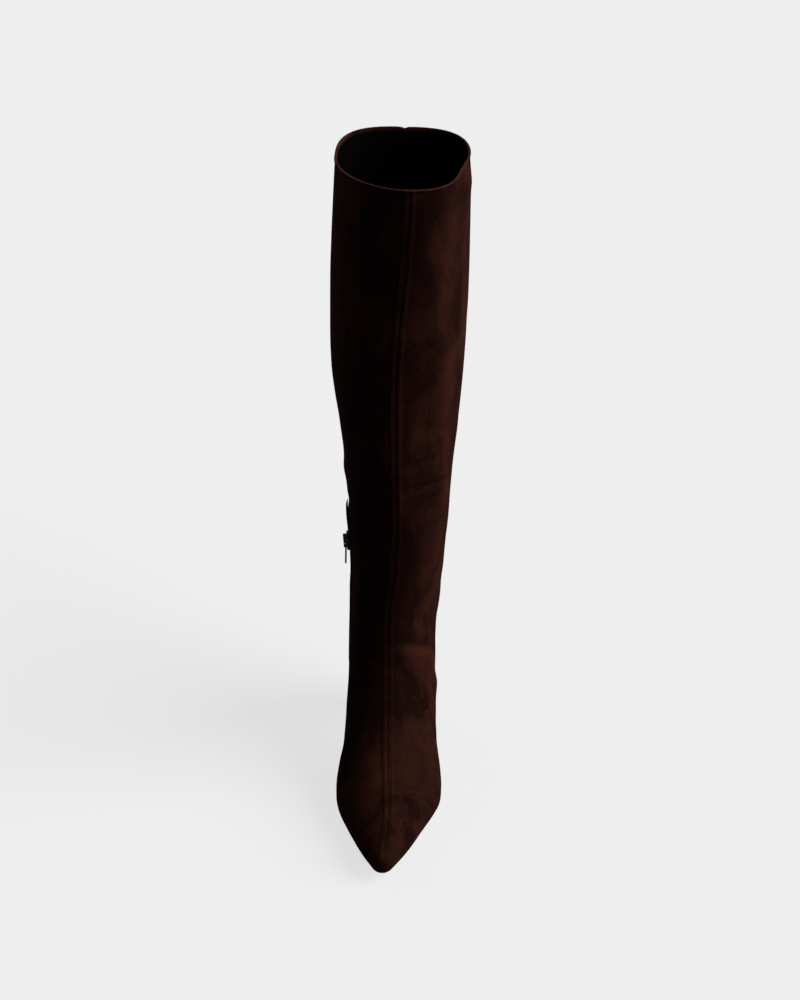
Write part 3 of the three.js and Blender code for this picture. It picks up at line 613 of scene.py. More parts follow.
@dataclass(frozen=True)
class Wave:
    """Soft waves of worn suede: their length across and upwards in millimetres, and their strength."""

    across: float
    up: float
    shift: float
    strength: float


WAVES: tuple[Wave, ...] = (
    Wave(34.0, 46.0, 0.0, 1.15),
    Wave(12.0, 17.0, 7.0, 0.4),
)


@dataclass(frozen=True)
class Calm:
    """Ranges over which creases and waves fade out, in millimetres, or in rings at the toe."""

    sole: tuple[float, float] = (1.0, 9.0)
    toe: tuple[float, float] = (1.5, 7.0)
    toe_share: float = 0.35
    collar: tuple[float, float] = (440.0, 480.0)
    collar_loss: float = 0.8
    beside_zip: tuple[float, float] = (9.0, 20.0)
    beyond_zip: tuple[float, float] = (4.0, 18.0)


@dataclass(frozen=True)
class Pinch:
    """How the soft collar is drawn in at the front of its outer side, in millimetres."""

    depth: float = 5.5
    middle_y: float = -43.0
    reach: float = 28.0
    heights: tuple[float, float] = (472.0, 487.0)
    bulge: float = 1.2
    bulge_z: float = 477.0
    bulge_reach: float = 8.0
    toward: tuple[float, float] = (-0.92, 0.39)

    def draw_in(self, rows: np.ndarray) -> np.ndarray:
        """Flattens the collar where the photo shows it, with a slight bulge under it.

        Args:
            rows: points of the upper.

        Returns:
            The moved points.
        """
        y, z = rows[..., 1], rows[..., 2]
        near = np.exp(-(((y - self.middle_y) / self.reach) ** 2)) * (rows[..., 0] > 0)
        bulge = self.bulge * np.exp(-(((z - self.bulge_z) / self.bulge_reach) ** 2))
        pull = near * (self.depth * smooth_step(*self.heights, z) - bulge)
        inwards, back = self.toward
        return rows + np.stack([inwards * pull, back * pull, np.zeros_like(pull)], axis=2)


@dataclass
class Upper:
    """The suede upper: face, turned collar edge, facing and lining in one closed shell."""

    form: BootForm
    section: Section = field(default_factory=Section)
    calm: Calm = field(default_factory=Calm)
    pinch: Pinch = field(default_factory=Pinch)
    outer_rows: int = 352
    fine_rows: int = 1400
    facing_rows: int = 8
    inner_rows: int = 64
    line_points: int = 26
    seam_start: tuple[float, float] = (0.3, 2.4)
    rim_start: float = 0.8
    ridge_end: float = -0.2
    notch: float = 1.1
    notch_width: float = 2.4
    notch_heights: tuple[float, float] = (3.4, 0.4)
    facing_top: float = 2.6
    facing_depth: float = 4.6
    facing_step: float = 0.6
    toe_end: float = 1.9
    skin: float = 0.25
    facing_skin: float = 0.2
    corner: float = 1.2
    corner_dip: float = 0.12
    undulation: float = 0.42
    front_half: float = 60.0
    stitch_gap_column: int = 6
    face: np.ndarray | None = field(default=None, init=False)

    def place_of_drop(self, drop: float) -> float:
        """Place along the boot that lies a distance under the collar."""
        rise = self.form.table[LAST_RING, 1] - self.form.table[LAST_RING - 1, 1]
        return LAST_RING - drop / rise

    def places(self) -> np.ndarray:
        """Places of the face's rows, evenly along the boot.

        Returns:
            Places from the toe to just under the turned edge.
        """
        fine = np.linspace(0.0, self.place_of_drop(RIM[0].drop + self.rim_start), self.fine_rows)
        forms = self.form.forms(fine)
        front, back, level = forms[:, 0:2], forms[:, 2:4], forms[:, [7]]
        side = front + (back - front) * level
        runs = [np.linalg.norm(np.diff(line, axis=0), axis=1) for line in (front, side, back)]
        step = 0.3 * runs[0] + 0.4 * runs[1] + 0.3 * runs[2]
        length = np.concatenate([[0.0], np.cumsum(step)])
        return np.interp(np.linspace(0.0, length[-1], self.outer_rows), length, fine)

    def press_creases(self, rows: np.ndarray, at: np.ndarray) -> np.ndarray:
        """How far each point of the face moves outwards for creases and the soft unevenness of worn suede.

        Args:
            rows: points of the face.
            at: places of its rows.

        Returns:
            Moves in millimetres, below zero inwards.
        """
        flat = rows.reshape(-1, 3)
        move = np.zeros(len(flat))
        for crease in CREASES:
            line = self.crease_line(crease)
            near = np.full(len(flat), math.inf)
            which = np.zeros(len(flat), dtype=int)
            for k, point in enumerate(line):
                gap = np.linalg.norm(flat - point, axis=1)
                closer = gap < near
                near[closer] = gap[closer]
                which[closer] = k
            end = np.sin(math.pi * (which + 0.5) / len(line)) ** crease.fade
            trough = np.exp(-((near / crease.width) ** 2))
            beyond = near - crease.ridge_distance * crease.width
            ridge = np.exp(-((beyond / (crease.ridge_spread * crease.width)) ** 2))
            move += crease.depth * end * (crease.ridge * ridge - trough)
        waves = np.array([self.wave(p) for p in flat])
        move = move.reshape(rows.shape[:2]) + waves.reshape(rows.shape[:2]) * self.undulation
        return move * self.freedom(rows, at)

    def wave(self, point: np.ndarray) -> float:
        """Soft unevenness of the suede.

        Args:
            point: a point of the face.

        Returns:
            A number from about -1 to 1.
        """
        x, y, z = point
        total = 0.0
        for wave in WAVES:
            place = Vector((x / wave.across + wave.shift, y / wave.across, z / wave.up))
            total += wave.strength * noise.noise(place)
        return total

    def freedom(self, rows: np.ndarray, at: np.ndarray) -> np.ndarray:
        """How freely the upper moves: little at the sole, the collar, the stiff toe and the zip.

        Args:
            rows: points of the face.
            at: places of its rows.

        Returns:
            Shares from 0 to 1.
        """
        calm = self.calm
        x, y, z = rows[..., 0], rows[..., 1], rows[..., 2]
        over_sole = smooth_step(*calm.sole, z - self.form.bottom_height(y))
        toe = smooth_step(*calm.toe, at)[:, None]
        collar = 1.0 - calm.collar_loss * smooth_step(*calm.collar, z)
        inner = x < 0
        beside = smooth_step(*calm.beside_zip, np.abs(y - ZIP.line_y))
        near, away = calm.beyond_zip
        under = smooth_step(ZIP.foot_z - near, ZIP.foot_z - away, z)
        over = smooth_step(ZIP.head_z + near, ZIP.head_z + away, z)
        at_zip = np.where(inner, np.maximum(beside, np.maximum(under, over)), 1.0)
        return over_sole * (calm.toe_share + (1.0 - calm.toe_share) * toe) * collar * at_zip

    def crease_line(self, crease: Crease | ToneBand) -> np.ndarray:
        """Points every few millimetres along a crease or a stroke, on the boot's face.

        Args:
            crease: the crease or the stroke.

        Returns:
            The points.
        """
        points = np.array(crease.points)
        share = np.linspace(0, 1, self.line_points)
        marks = np.linspace(0, 1, len(points))
        at = np.interp(share, marks, points[:, 0])
        turn = np.interp(share, marks, points[:, 1])
        rings = ring_rows(self.form, at, np.zeros(len(at)), self.section, 0.0)
        count = self.section.count
        line = []
        for ring, around in zip(rings, turn):
            step = (-around * count / 2) % count
            low = int(step)
            u = step - low
            line.append(ring[low % count] * (1 - u) + ring[(low + 1) % count] * u)
        return np.array(line)

    def face_rows(self) -> np.ndarray:
        """The face from the toe's tip to just under the collar's turned edge.

        Returns:
            Its rows of points.
        """
        at = self.places()
        seams = smooth_step(*self.seam_start, at)[:, None]
        rows = ring_rows(self.form, at, np.zeros(len(at)), self.section, seams)
        normals = grid_normals(rows)
        rows = rows + normals * self.press_creases(rows, at)[..., None]
        return self.tuck_under(rows, 0.0)

    def tuck_under(self, rows: np.ndarray, lift: float) -> np.ndarray:
        """Turns the lower edge in under the foot, with a soft corner.

        Args:
            rows: points of the face or of the lining.
            lift: height of the turned part over the upper's bottom.

        Returns:
            The moved points.
        """
        under = self.form.bottom_height(rows[..., 1]) + lift
        over = rows[..., 2] - under
        rows = rows.copy()
        rounded = 0.5 * (over + np.sqrt(over * over + self.corner))
        rows[..., 2] = under + rounded - self.corner_dip * np.exp(-(over**2))
        return rows

    def rim_rows(self) -> np.ndarray:
        """The collar's turned edge, with a small notch over the back seam.

        Returns:
            Its rows of points.
        """
        at = np.array([self.place_of_drop(row.drop) for row in RIM])
        grow = np.array([row.grow for row in RIM])
        ridged = ring_rows(self.form, at, grow, self.section, 1.0)
        plain = ring_rows(self.form, at, grow, self.section, 0.0)
        rows = np.where((grow > self.ridge_end)[:, None, None], ridged, plain)
        turn = np.arange(self.section.count)
        back = np.abs(turn - self.section.count // 2)
        beyond = np.full(self.section.count, FAR)
        gaps = np.concatenate([[0.0], np.array(self.section.back_gaps)[::-1], beyond])
        dip = np.exp(-((gaps[back] / self.notch_width) ** 2)) * self.notch
        near_top = smooth_step(*self.notch_heights, np.array([row.drop for row in RIM]))
        rows[..., 2] -= dip[None, :] * near_top[:, None]
        return rows

    def inside_rows(self) -> np.ndarray:
        """The facing and the lining, from the collar down to the toe.

        Returns:
            Their rows of points.
        """
        top = self.place_of_drop(self.facing_top)
        edge = self.place_of_drop(self.facing_depth)
        step = self.place_of_drop(self.facing_depth + self.facing_step)
        facing = np.linspace(top, edge, self.facing_rows)
        at = np.concatenate([facing, np.linspace(step, self.toe_end, self.inner_rows)])
        grow = -self.form.wall(at) + self.skin * self.facing_skin
        grow[self.facing_rows :] -= self.skin
        rows = ring_rows(self.form, at, grow, self.section, 0.0)
        return self.tuck_under(rows, self.form.sizes.foot_wall)

    def build(self) -> bpy.types.Object:
        """Builds the closed shell, with the seams' distances and the collar's rim as attributes.

        Returns:
            The piece.
        """
        self.face = self.pinch.draw_in(self.face_rows())
        rim = self.pinch.draw_in(self.rim_rows())
        inside = self.pinch.draw_in(self.inside_rows())
        piece = shell_of_rows("upper_suede", np.concatenate([self.face, rim, inside]))
        self.mark(piece)
        turn_faces_outwards(piece)
        return piece

    def mark(self, piece: bpy.types.Object) -> None:
        """Writes the attributes that the suede reads, and gives the lining its material slot.

        Args:
            piece: the upper's closed shell.
        """
        face_count, rim_count = len(self.face), len(RIM)
        mesh = piece.data
        row = np.empty(len(mesh.vertices), dtype=np.int32)
        mesh.attributes["shell_row"].data.foreach_get("value", row)
        flat = np.empty(len(mesh.vertices) * 3)
        mesh.vertices.foreach_get("co", flat)
        co = flat.reshape(-1, 3) / MM
        seam_line = self.face[:, 0, :]
        gap = np.full(len(co), FAR)
        outside = row <= face_count + rim_count
        front = np.where(outside & (co[:, 1] < self.form.sizes.heel_setback - self.front_half))[0]
        gap[front] = self.seam_gap(co[front], seam_line)
        blank = np.zeros(row.max())
        # Share of painted highlight along the collar's top edge
        painted_highlight = [rim_row.painted_highlight for rim_row in RIM]
        rim = np.concatenate([np.zeros(face_count + 1), painted_highlight, blank])[row]
        run = np.concatenate([[0.0], self.seam_run(), blank])[row]
        nap_tone_and_shade = np.where(outside, self.nap_tone_and_shade(co), 0.0)
        for name, values in (("seam_gap", gap), ("seam_run", run), ("rim", rim), ("nap_tone_and_shade", nap_tone_and_shade)):
            layer = mesh.attributes.new(name, "FLOAT", "POINT")
            layer.data.foreach_set("value", values.astype(np.float32))
        first_lining = face_count + rim_count + self.facing_rows + 1
        polygons = len(mesh.polygons)
        loops = np.empty(len(mesh.loops), dtype=np.int32)
        mesh.loops.foreach_get("vertex_index", loops)
        starts = np.empty(polygons, dtype=np.int32)
        mesh.polygons.foreach_get("loop_start", starts)
        slots = (row[loops[starts]] >= first_lining).astype(np.int32)
        mesh.polygons.foreach_set("material_index", slots)

    def nap_tone_and_shade(self, points: np.ndarray) -> np.ndarray:
        """How much the strokes across the nap and the bands of painted shade lighten or darken the suede.

        Args:
            points: points of the face.

        Returns:
            One number for each point, above zero lighter.
        """
        total = np.zeros(len(points))
        for stroke in TONE_BANDS:
            line = self.crease_line(stroke)
            near = np.full(len(points), math.inf)
            for point in line:
                near = np.minimum(near, ((points - point) ** 2).sum(axis=1))
            total += stroke.amount * np.exp(-near / stroke.width**2)
        return total

    def seam_gap(self, points: np.ndarray, line: np.ndarray, batch: int = 4000) -> np.ndarray:
        """Distance of points from the front seam's line.

        Args:
            points: the points.
            line: points of the seam.
            batch: how many points are measured at a time.

        Returns:
            One distance for each point.
        """
        near = np.full(len(points), FAR)
        for start in range(0, len(points), batch):
            part = points[start : start + batch]
            gaps = np.linalg.norm(part[:, None, :] - line[None, ::2, :], axis=2)
            near[start : start + batch] = gaps.min(axis=1)
        return near

    def seam_run(self) -> np.ndarray:
        """Length along the front seam at each row of the face."""
        steps = np.linalg.norm(np.diff(self.face[:, 0, :], axis=0), axis=1)
        return np.concatenate([[0.0], np.cumsum(steps)])

    def seam_path(self, column: int) -> np.ndarray:
        """A line along the face beside the front seam, for a row of stitches."""
        return self.face[:, column % self.section.count, :]


@dataclass(frozen=True)
class ZipPlace:
    """Where the half zip lies on the inner side, in millimetres."""

    line_y: float = -30.0
    foot_z: float = 71.0
    head_z: float = 190.0
    slider_z: float = 179.5
    slot_half: float = 3.7


ZIP = ZipPlace()


class InnerSide:
    """The inner side of the boot's face, read by a place in the side view."""

    first_ring = 6.0
    slope_step = 0.5

    def __init__(self, form: BootForm) -> None:
        """Keeps the boot's form.

        Args:
            form: the boot's form.
        """
        self.form = form

    def x_at(self, y: np.ndarray, z: np.ndarray) -> np.ndarray:
        """Sideways place of the face at points of the side view.

        Args:
            y: places along the foot.
            z: heights over the floor.

        Returns:
            The x of the face at each point.
        """
        low = np.full(y.shape, self.first_ring)
        high = np.full(y.shape, float(LAST_RING))
        for _ in range(HALVINGS):
            at = (low + high) / 2
            forms = self.form.forms(at)
            run = forms[:, 2:4] - forms[:, 0:2]
            turn = run[:, 0] * (z - forms[:, 1]) - run[:, 1] * (y - forms[:, 0])
            low = np.where(turn > 0, at, low)
            high = np.where(turn > 0, high, at)
        f = self.form.forms(low)
        run = f[:, 2:4] - f[:, 0:2]
        share = ((y - f[:, 0]) * run[:, 0] + (z - f[:, 1]) * run[:, 1]) / (run**2).sum(axis=1)
        level = f[:, 7]
        upper = share < level
        away = np.where(upper, 1 - share / level, (share - level) / (1 - level))
        power = np.where(upper, f[:, 8], f[:, 9])
        width = (1 - np.clip(np.abs(away), 0, 1) ** power) ** (1 / power)
        to_seam = np.maximum(1 - share / level, 0)
        return f[:, 5] + f[:, 6] * to_seam**2 - f[:, 4] * width

    def points(self, across: np.ndarray, height: np.ndarray, z: np.ndarray) -> np.ndarray:
        """Points beside the zip's line, standing a height outside the face.

        Args:
            across: distances from the zip's line, towards the back.
            height: heights outside the face.
            z: heights over the floor.

        Returns:
            Points of shape (n, 3).
        """
        y = ZIP.line_y + across
        step = self.slope_step
        x = self.x_at(y, z)
        slope_y = (self.x_at(y + step, z) - self.x_at(y - step, z)) / (2 * step)
        slope_z = (self.x_at(y, z + step) - self.x_at(y, z - step)) / (2 * step)
        out = np.stack([-np.ones_like(x), slope_y, slope_z], axis=1)
        out /= np.linalg.norm(out, axis=1, keepdims=True)
        return np.stack([x, y, z], axis=1) + out * height[:, None]

    def rows(self, across: np.ndarray, height: np.ndarray, z: np.ndarray) -> np.ndarray:
        """Points as for points(), on a grid whose three inputs have the same two-dimensional shape."""
        return self.points(across.ravel(), height.ravel(), z.ravel()).reshape(*across.shape, 3)


JOIN_DISTANCE = 0.00001  # metres
FLAT_ANGLE = 1.0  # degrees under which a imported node's facets are one face


def copy_of_node(node: bpy.types.Object, name: str) -> bpy.types.Object:
    """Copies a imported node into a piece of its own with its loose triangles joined.

    Args:
        node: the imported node.
        name: name of the new piece.

    Returns:
        The new piece.
    """
    deselect_all()
    piece = bpy.data.objects.new(name, node.data.copy())
    piece.data.name = name
    piece.data.materials.clear()
    bpy.context.scene.collection.objects.link(piece)
    piece.select_set(True)
    bpy.context.view_layer.objects.active = piece
    bpy.ops.object.mode_set(mode="EDIT")
    bpy.ops.mesh.select_all(action="SELECT")
    bpy.ops.mesh.remove_doubles(threshold=JOIN_DISTANCE)
    bpy.ops.mesh.dissolve_limited(angle_limit=math.radians(FLAT_ANGLE))
    bpy.ops.object.mode_set(mode="OBJECT")
    return piece


def round_edges(piece: bpy.types.Object, width_mm: float, segments: int, angle: float) -> None:
    """Rounds a hard piece's edges with a bevel that is applied at once.

    Args:
        piece: the piece.
        width_mm: width of the bevel in millimetres.
        segments: steps across it.
        angle: smallest turn between faces that is rounded, in degrees.
    """
    deselect_all()
    piece.select_set(True)
    bpy.context.view_layer.objects.active = piece
    bevel = piece.modifiers.new("rounded", "BEVEL")
    bevel.width = width_mm * MM
    bevel.segments = segments
    bevel.limit_method = "ANGLE"
    bevel.angle_limit = math.radians(angle)
    bevel.harden_normals = False
    bpy.ops.object.modifier_apply(modifier=bevel.name)


def repeat_model(name: str, model: bpy.types.Object, frames: list[np.ndarray]) -> bpy.types.Object:
    """Copies a small model to many places, in one mesh, and takes the model away.

    Args:
        name: name of the new piece.
        model: the small model, in millimetres about the origin.
        frames: for each copy a matrix of four columns: three directions and the place, in millimetres.

    Returns:
        The new piece, in metres.
    """
    mesh = model.data
    count = len(mesh.vertices)
    flat = np.empty(count * 3)
    mesh.vertices.foreach_get("co", flat)
    co = flat.reshape(-1, 3)
    faces = [tuple(polygon.vertices) for polygon in mesh.polygons]
    verts = np.concatenate([co @ frame[:, :3].T + frame[:, 3] for frame in frames]) * MM
    all_faces = [tuple(v + k * count for v in face) for k in range(len(frames)) for face in faces]
    made = bpy.data.meshes.new(name)
    made.from_pydata(verts.tolist(), [], all_faces)
    piece = bpy.data.objects.new(name, made)
    bpy.context.scene.collection.objects.link(piece)
    bpy.data.objects.remove(model, do_unlink=True)
    made.polygons.foreach_set("use_smooth", np.ones(len(made.polygons), dtype=bool))
    made.update()
    return piece


def length_along(line: np.ndarray) -> np.ndarray:
    """Length from a line's start to each of its points."""
    return np.concatenate([[0.0], np.cumsum(np.linalg.norm(np.diff(line, axis=0), axis=1))])


def frames_along(
    line: np.ndarray, out: np.ndarray, length: np.ndarray, pitch: float, lift: float
) -> list[np.ndarray]:
    """Places along a line for repeated pieces: first direction along it, third direction outwards.

    Args:
        line: points of the line.
        out: outward directions at those points.
        length: length at those points, by which the pieces are set out.
        pitch: distance from one piece to the next.
        lift: height of the pieces over the line.

    Returns:
        One matrix of four columns for each piece.
    """
    frames = []
    look = 0.4  # how far ahead and behind the direction is read
    first = math.ceil(length[0] / pitch) * pitch + pitch * 0.5
    for at in np.arange(first, length[-1], pitch):
        place = np.array([np.interp(at, length, line[:, k]) for k in range(3)])
        ahead = np.array([np.interp(at + look, length, line[:, k]) for k in range(3)])
        behind = np.array([np.interp(at - look, length, line[:, k]) for k in range(3)])
        normal = np.array([np.interp(at, length, out[:, k]) for k in range(3)])
        along = ahead - behind
        along /= np.linalg.norm(along)
        side = np.cross(normal, along)
        side /= np.linalg.norm(side)
        normal = np.cross(along, side)
        frames.append(np.stack([along, side, normal, place + normal * lift], axis=1))
    return frames


@dataclass
class Stitching:
    """Rows of topstitches: short stitches that sink into the suede at both ends."""

    pitch: float = 2.6
    length: float = 1.9
    thread: float = 0.5
    lift: float = 0.12
    sink: float = 0.22

    def stitch(self) -> bpy.types.Object:
        """One stitch about the origin, in millimetres: a rounded bar bent down at its ends.

        Returns:
            The model to copy.
        """
        deselect_all()
        lying = (0, math.pi / 2, 0)
        bpy.ops.mesh.primitive_uv_sphere_add(segments=6, ring_count=6, radius=0.5, rotation=lying)
        model = bpy.context.object
        bpy.ops.object.transform_apply(location=True, rotation=True, scale=True)
        for vertex in model.data.vertices:
            x, y, z = vertex.co
            share = abs(2 * x)
            vertex.co.x = x * self.length
            vertex.co.y = y * self.thread
            vertex.co.z = z * self.thread - self.sink * share**2
        return model

    def row(self, name: str, lines: list[tuple[np.ndarray, np.ndarray, np.ndarray]]) -> bpy.types.Object:
        """Rows of stitches in one piece.

        Args:
            name: name of the piece.
            lines: each row's points, outward directions and lengths.

        Returns:
            The piece.
        """
        frames = [frame for line in lines for frame in frames_along(*line, self.pitch, self.lift)]
        return repeat_model(name, self.stitch(), frames)


class PlacketSide(Enum):
    """The placket's two edges, by their way from the zip's line."""

    FRONT = -1.0
    BACK = 1.0


# Cross-section of a folded edge: share of its width from the teeth outwards, and height in millimetres
FOLDED_EDGE: tuple[tuple[float, float], ...] = (
    (0.0, 0.35),
    (0.035, 0.72),
    (0.12, 0.92),
    (0.3, 0.96),
    (0.5, 0.9),
    (0.68, 0.8),
    (0.77, 0.66),
    (0.85, 0.76),
    (0.93, 0.72),
    (0.985, 0.5),
    (1.0, 0.2),
    (0.97, -0.12),
    (0.6, -0.12),
    (0.3, -0.12),
    (0.05, 0.02),
)


@dataclass
class HalfZip:
    """The half zip on the inner side: placket edges, teeth, slider and pull tab."""

    side: InnerSide
    cut_rows: int = 40
    cut_out: float = 2.5
    cut_in: float = 5.0
    placket_rows: int = 120
    placket_width: float = 7.4
    placket_foot: float = 5.0
    placket_head: float = 23.0
    placket_gap: float = 0.3
    parting: float = 5.6
    spread: float = 2.1
    head_rise: float = 0.2
    opens: tuple[float, float] = (-20.0, -7.0)
    closes: tuple[float, float] = (6.5, 12.0)
    puckers: tuple[float, float] = (2.0, 12.0)
    stitch_rows: int = 90
    stitch_line: float = 6.0
    stitch_height: float = 0.66
    stitch_rise: float = 0.1
    tooth_pitch: float = 1.25
    tooth_width: float = 1.0
    tooth_reach: float = 3.1
    tooth_depth: float = 1.1
    tooth_overlap: float = 0.55
    tooth_edge: float = 0.16
    tooth_sink: float = 1.2
    stop_size: tuple[float, float, float] = (5.8, 3.4, 1.2)
    stop_place: float = 2.3

    def cutter(self) -> bpy.types.Object:
        """A strip that cuts the zip's slot out of the upper's shell.

        Returns:
            The strip.
        """
        z = np.linspace(ZIP.foot_z, ZIP.head_z, self.cut_rows)
        loop = [(-1, 1), (0, 1), (1, 1), (1, -1), (0, -1), (-1, -1)]
        across = np.array([[u * ZIP.slot_half for u, _ in loop] for _ in z])
        height = np.array([[self.cut_out if h > 0 else -self.cut_in for _, h in loop] for _ in z])
        rows = self.side.rows(across, height, np.repeat(z[:, None], len(loop), axis=1))
        piece = shell_of_rows("zip_cutter", rows)
        turn_faces_outwards(piece)
        return piece

    def cut_slot(self, upper: bpy.types.Object) -> None:
        """Cuts the slot out of the upper.

        Args:
            upper: the upper's closed shell.
        """
        cutter = self.cutter()
        deselect_all()
        upper.select_set(True)
        bpy.context.view_layer.objects.active = upper
        cut = upper.modifiers.new("zip_slot", "BOOLEAN")
        cut.operation = "DIFFERENCE"
        cut.solver = "EXACT"
        cut.object = cutter
        bpy.ops.object.modifier_apply(modifier=cut.name)
        bpy.data.objects.remove(cutter, do_unlink=True)

    def opened(self, z: np.ndarray) -> np.ndarray:
        """Share to which the slider pushes the placket open.

        Args:
            z: heights over the floor.

        Returns:
            Shares from 0 to 1.
        """
        rise = smooth_step(ZIP.slider_z + self.opens[0], ZIP.slider_z + self.opens[1], z)
        fall = 1.0 - smooth_step(ZIP.slider_z + self.closes[0], ZIP.slider_z + self.closes[1], z)
        return rise * fall

    def pucker(self, z: np.ndarray) -> np.ndarray:
        """How much the placket's closed head stands proud over the zip's upper end."""
        return smooth_step(ZIP.head_z + self.puckers[0], ZIP.head_z + self.puckers[1], z)

    def placket_edge(self, name: str, way: PlacketSide) -> bpy.types.Object:
        """One folded edge of the placket.

        Args:
            name: name of the piece.
            way: which edge it is.

        Returns:
            The piece.
        """
        foot = ZIP.foot_z - self.placket_foot
        z = np.linspace(foot, ZIP.head_z + self.placket_head, self.placket_rows)
        opened = self.opened(z)
        pucker = self.pucker(z)
        inner = self.placket_gap + self.parting * opened
        outer = self.placket_width + self.spread * opened
        grows = smooth_step(foot, ZIP.foot_z + 1.0, z)
        fades = 1 - smooth_step(z[-1] - 2.0, z[-1], z)
        thick = 0.2 + 0.8 * np.minimum(grows, fades)
        across = []
        height = []
        for start, end, share, rise in zip(inner, outer, thick, self.head_rise * pucker):
            across.append([way.value * (start + (end - start) * u) for u, _ in FOLDED_EDGE])
            height.append([h * share * (1 + rise * (1 - u)) for u, h in FOLDED_EDGE])
        heights = np.repeat(z[:, None], len(FOLDED_EDGE), axis=1)
        piece = shell_of_rows(name, self.side.rows(np.array(across), np.array(height), heights))
        turn_faces_outwards(piece)
        smooth_by_angle(piece, 60)
        return piece

    def placket_lines(self) -> list[tuple[np.ndarray, np.ndarray, np.ndarray]]:
        """Lines of the stitches along both placket edges.

        Returns:
            For each line its points, outward directions and lengths.
        """
        lines = []
        low_z, high_z = ZIP.foot_z - 1.5, ZIP.head_z + self.placket_head - 3.0
        for way in PlacketSide:
            z = np.linspace(low_z, high_z, self.stitch_rows)
            across = way.value * (self.stitch_line + self.spread * self.opened(z))
            height = self.stitch_height + self.stitch_rise * self.pucker(z)
            low = self.side.points(across, height, z)
            high = self.side.points(across, height + 1, z)
            lines.append((low, high - low, length_along(low)))
        return lines

    def teeth(self) -> bpy.types.Object:
        """The closed teeth: two rows of small blocks that mesh along the middle, and a stop at each end.

        Returns:
            The piece.
        """
        deselect_all()
        bpy.ops.mesh.primitive_cube_add(size=1.0)
        model = bpy.context.object
        bpy.ops.object.mode_set(mode="EDIT")
        bpy.ops.mesh.select_all(action="SELECT")
        bpy.ops.mesh.bevel(offset=self.tooth_edge, offset_pct=0, segments=1, affect="EDGES")
        bpy.ops.object.mode_set(mode="OBJECT")
        frames = []
        first, last = ZIP.foot_z + 2 * self.stop_place, ZIP.head_z - 2 * self.stop_place
        spots = np.arange(first, last, self.tooth_pitch)
        tooth_size = (self.tooth_reach, self.tooth_width, self.tooth_depth)
        sizes = [tooth_size] * len(spots) + [self.stop_size] * 2
        z_all = np.concatenate([spots, [ZIP.foot_z + self.stop_place, ZIP.head_z - self.stop_place]])
        ways = [(-1.0) ** k for k in range(len(spots))] + [0.0, 0.0]
        across = np.array([way * (self.tooth_reach / 2 - self.tooth_overlap) for way in ways])
        middle = self.side.points(across, np.full(len(across), -self.tooth_sink), z_all)
        out = self.side.points(across, np.full(len(across), 1 - self.tooth_sink), z_all) - middle
        for place, normal, (reach, width, deep) in zip(middle, out, sizes):
            side = np.array([0.0, 1.0, 0.0])
            side = side - normal * side.dot(normal)
            side /= np.linalg.norm(side)
            up = np.cross(side, normal)
            frames.append(np.stack([side * reach, up * width, normal * deep, place], axis=1))
        return repeat_model("zip_teeth", model, frames)


def clean_polygon(points: np.ndarray, apart: float = 0.1) -> np.ndarray:
    """Drops points of a closed line that lie too near the one before.

    Args:
        points: points of the line, in millimetres.
        apart: smallest distance that is kept.

    Returns:
        The points that stay.
    """
    keep = [points[0]]
    for point in points[1:]:
        if np.linalg.norm(point - keep[-1]) > apart:
            keep.append(point)
    return np.array(keep)


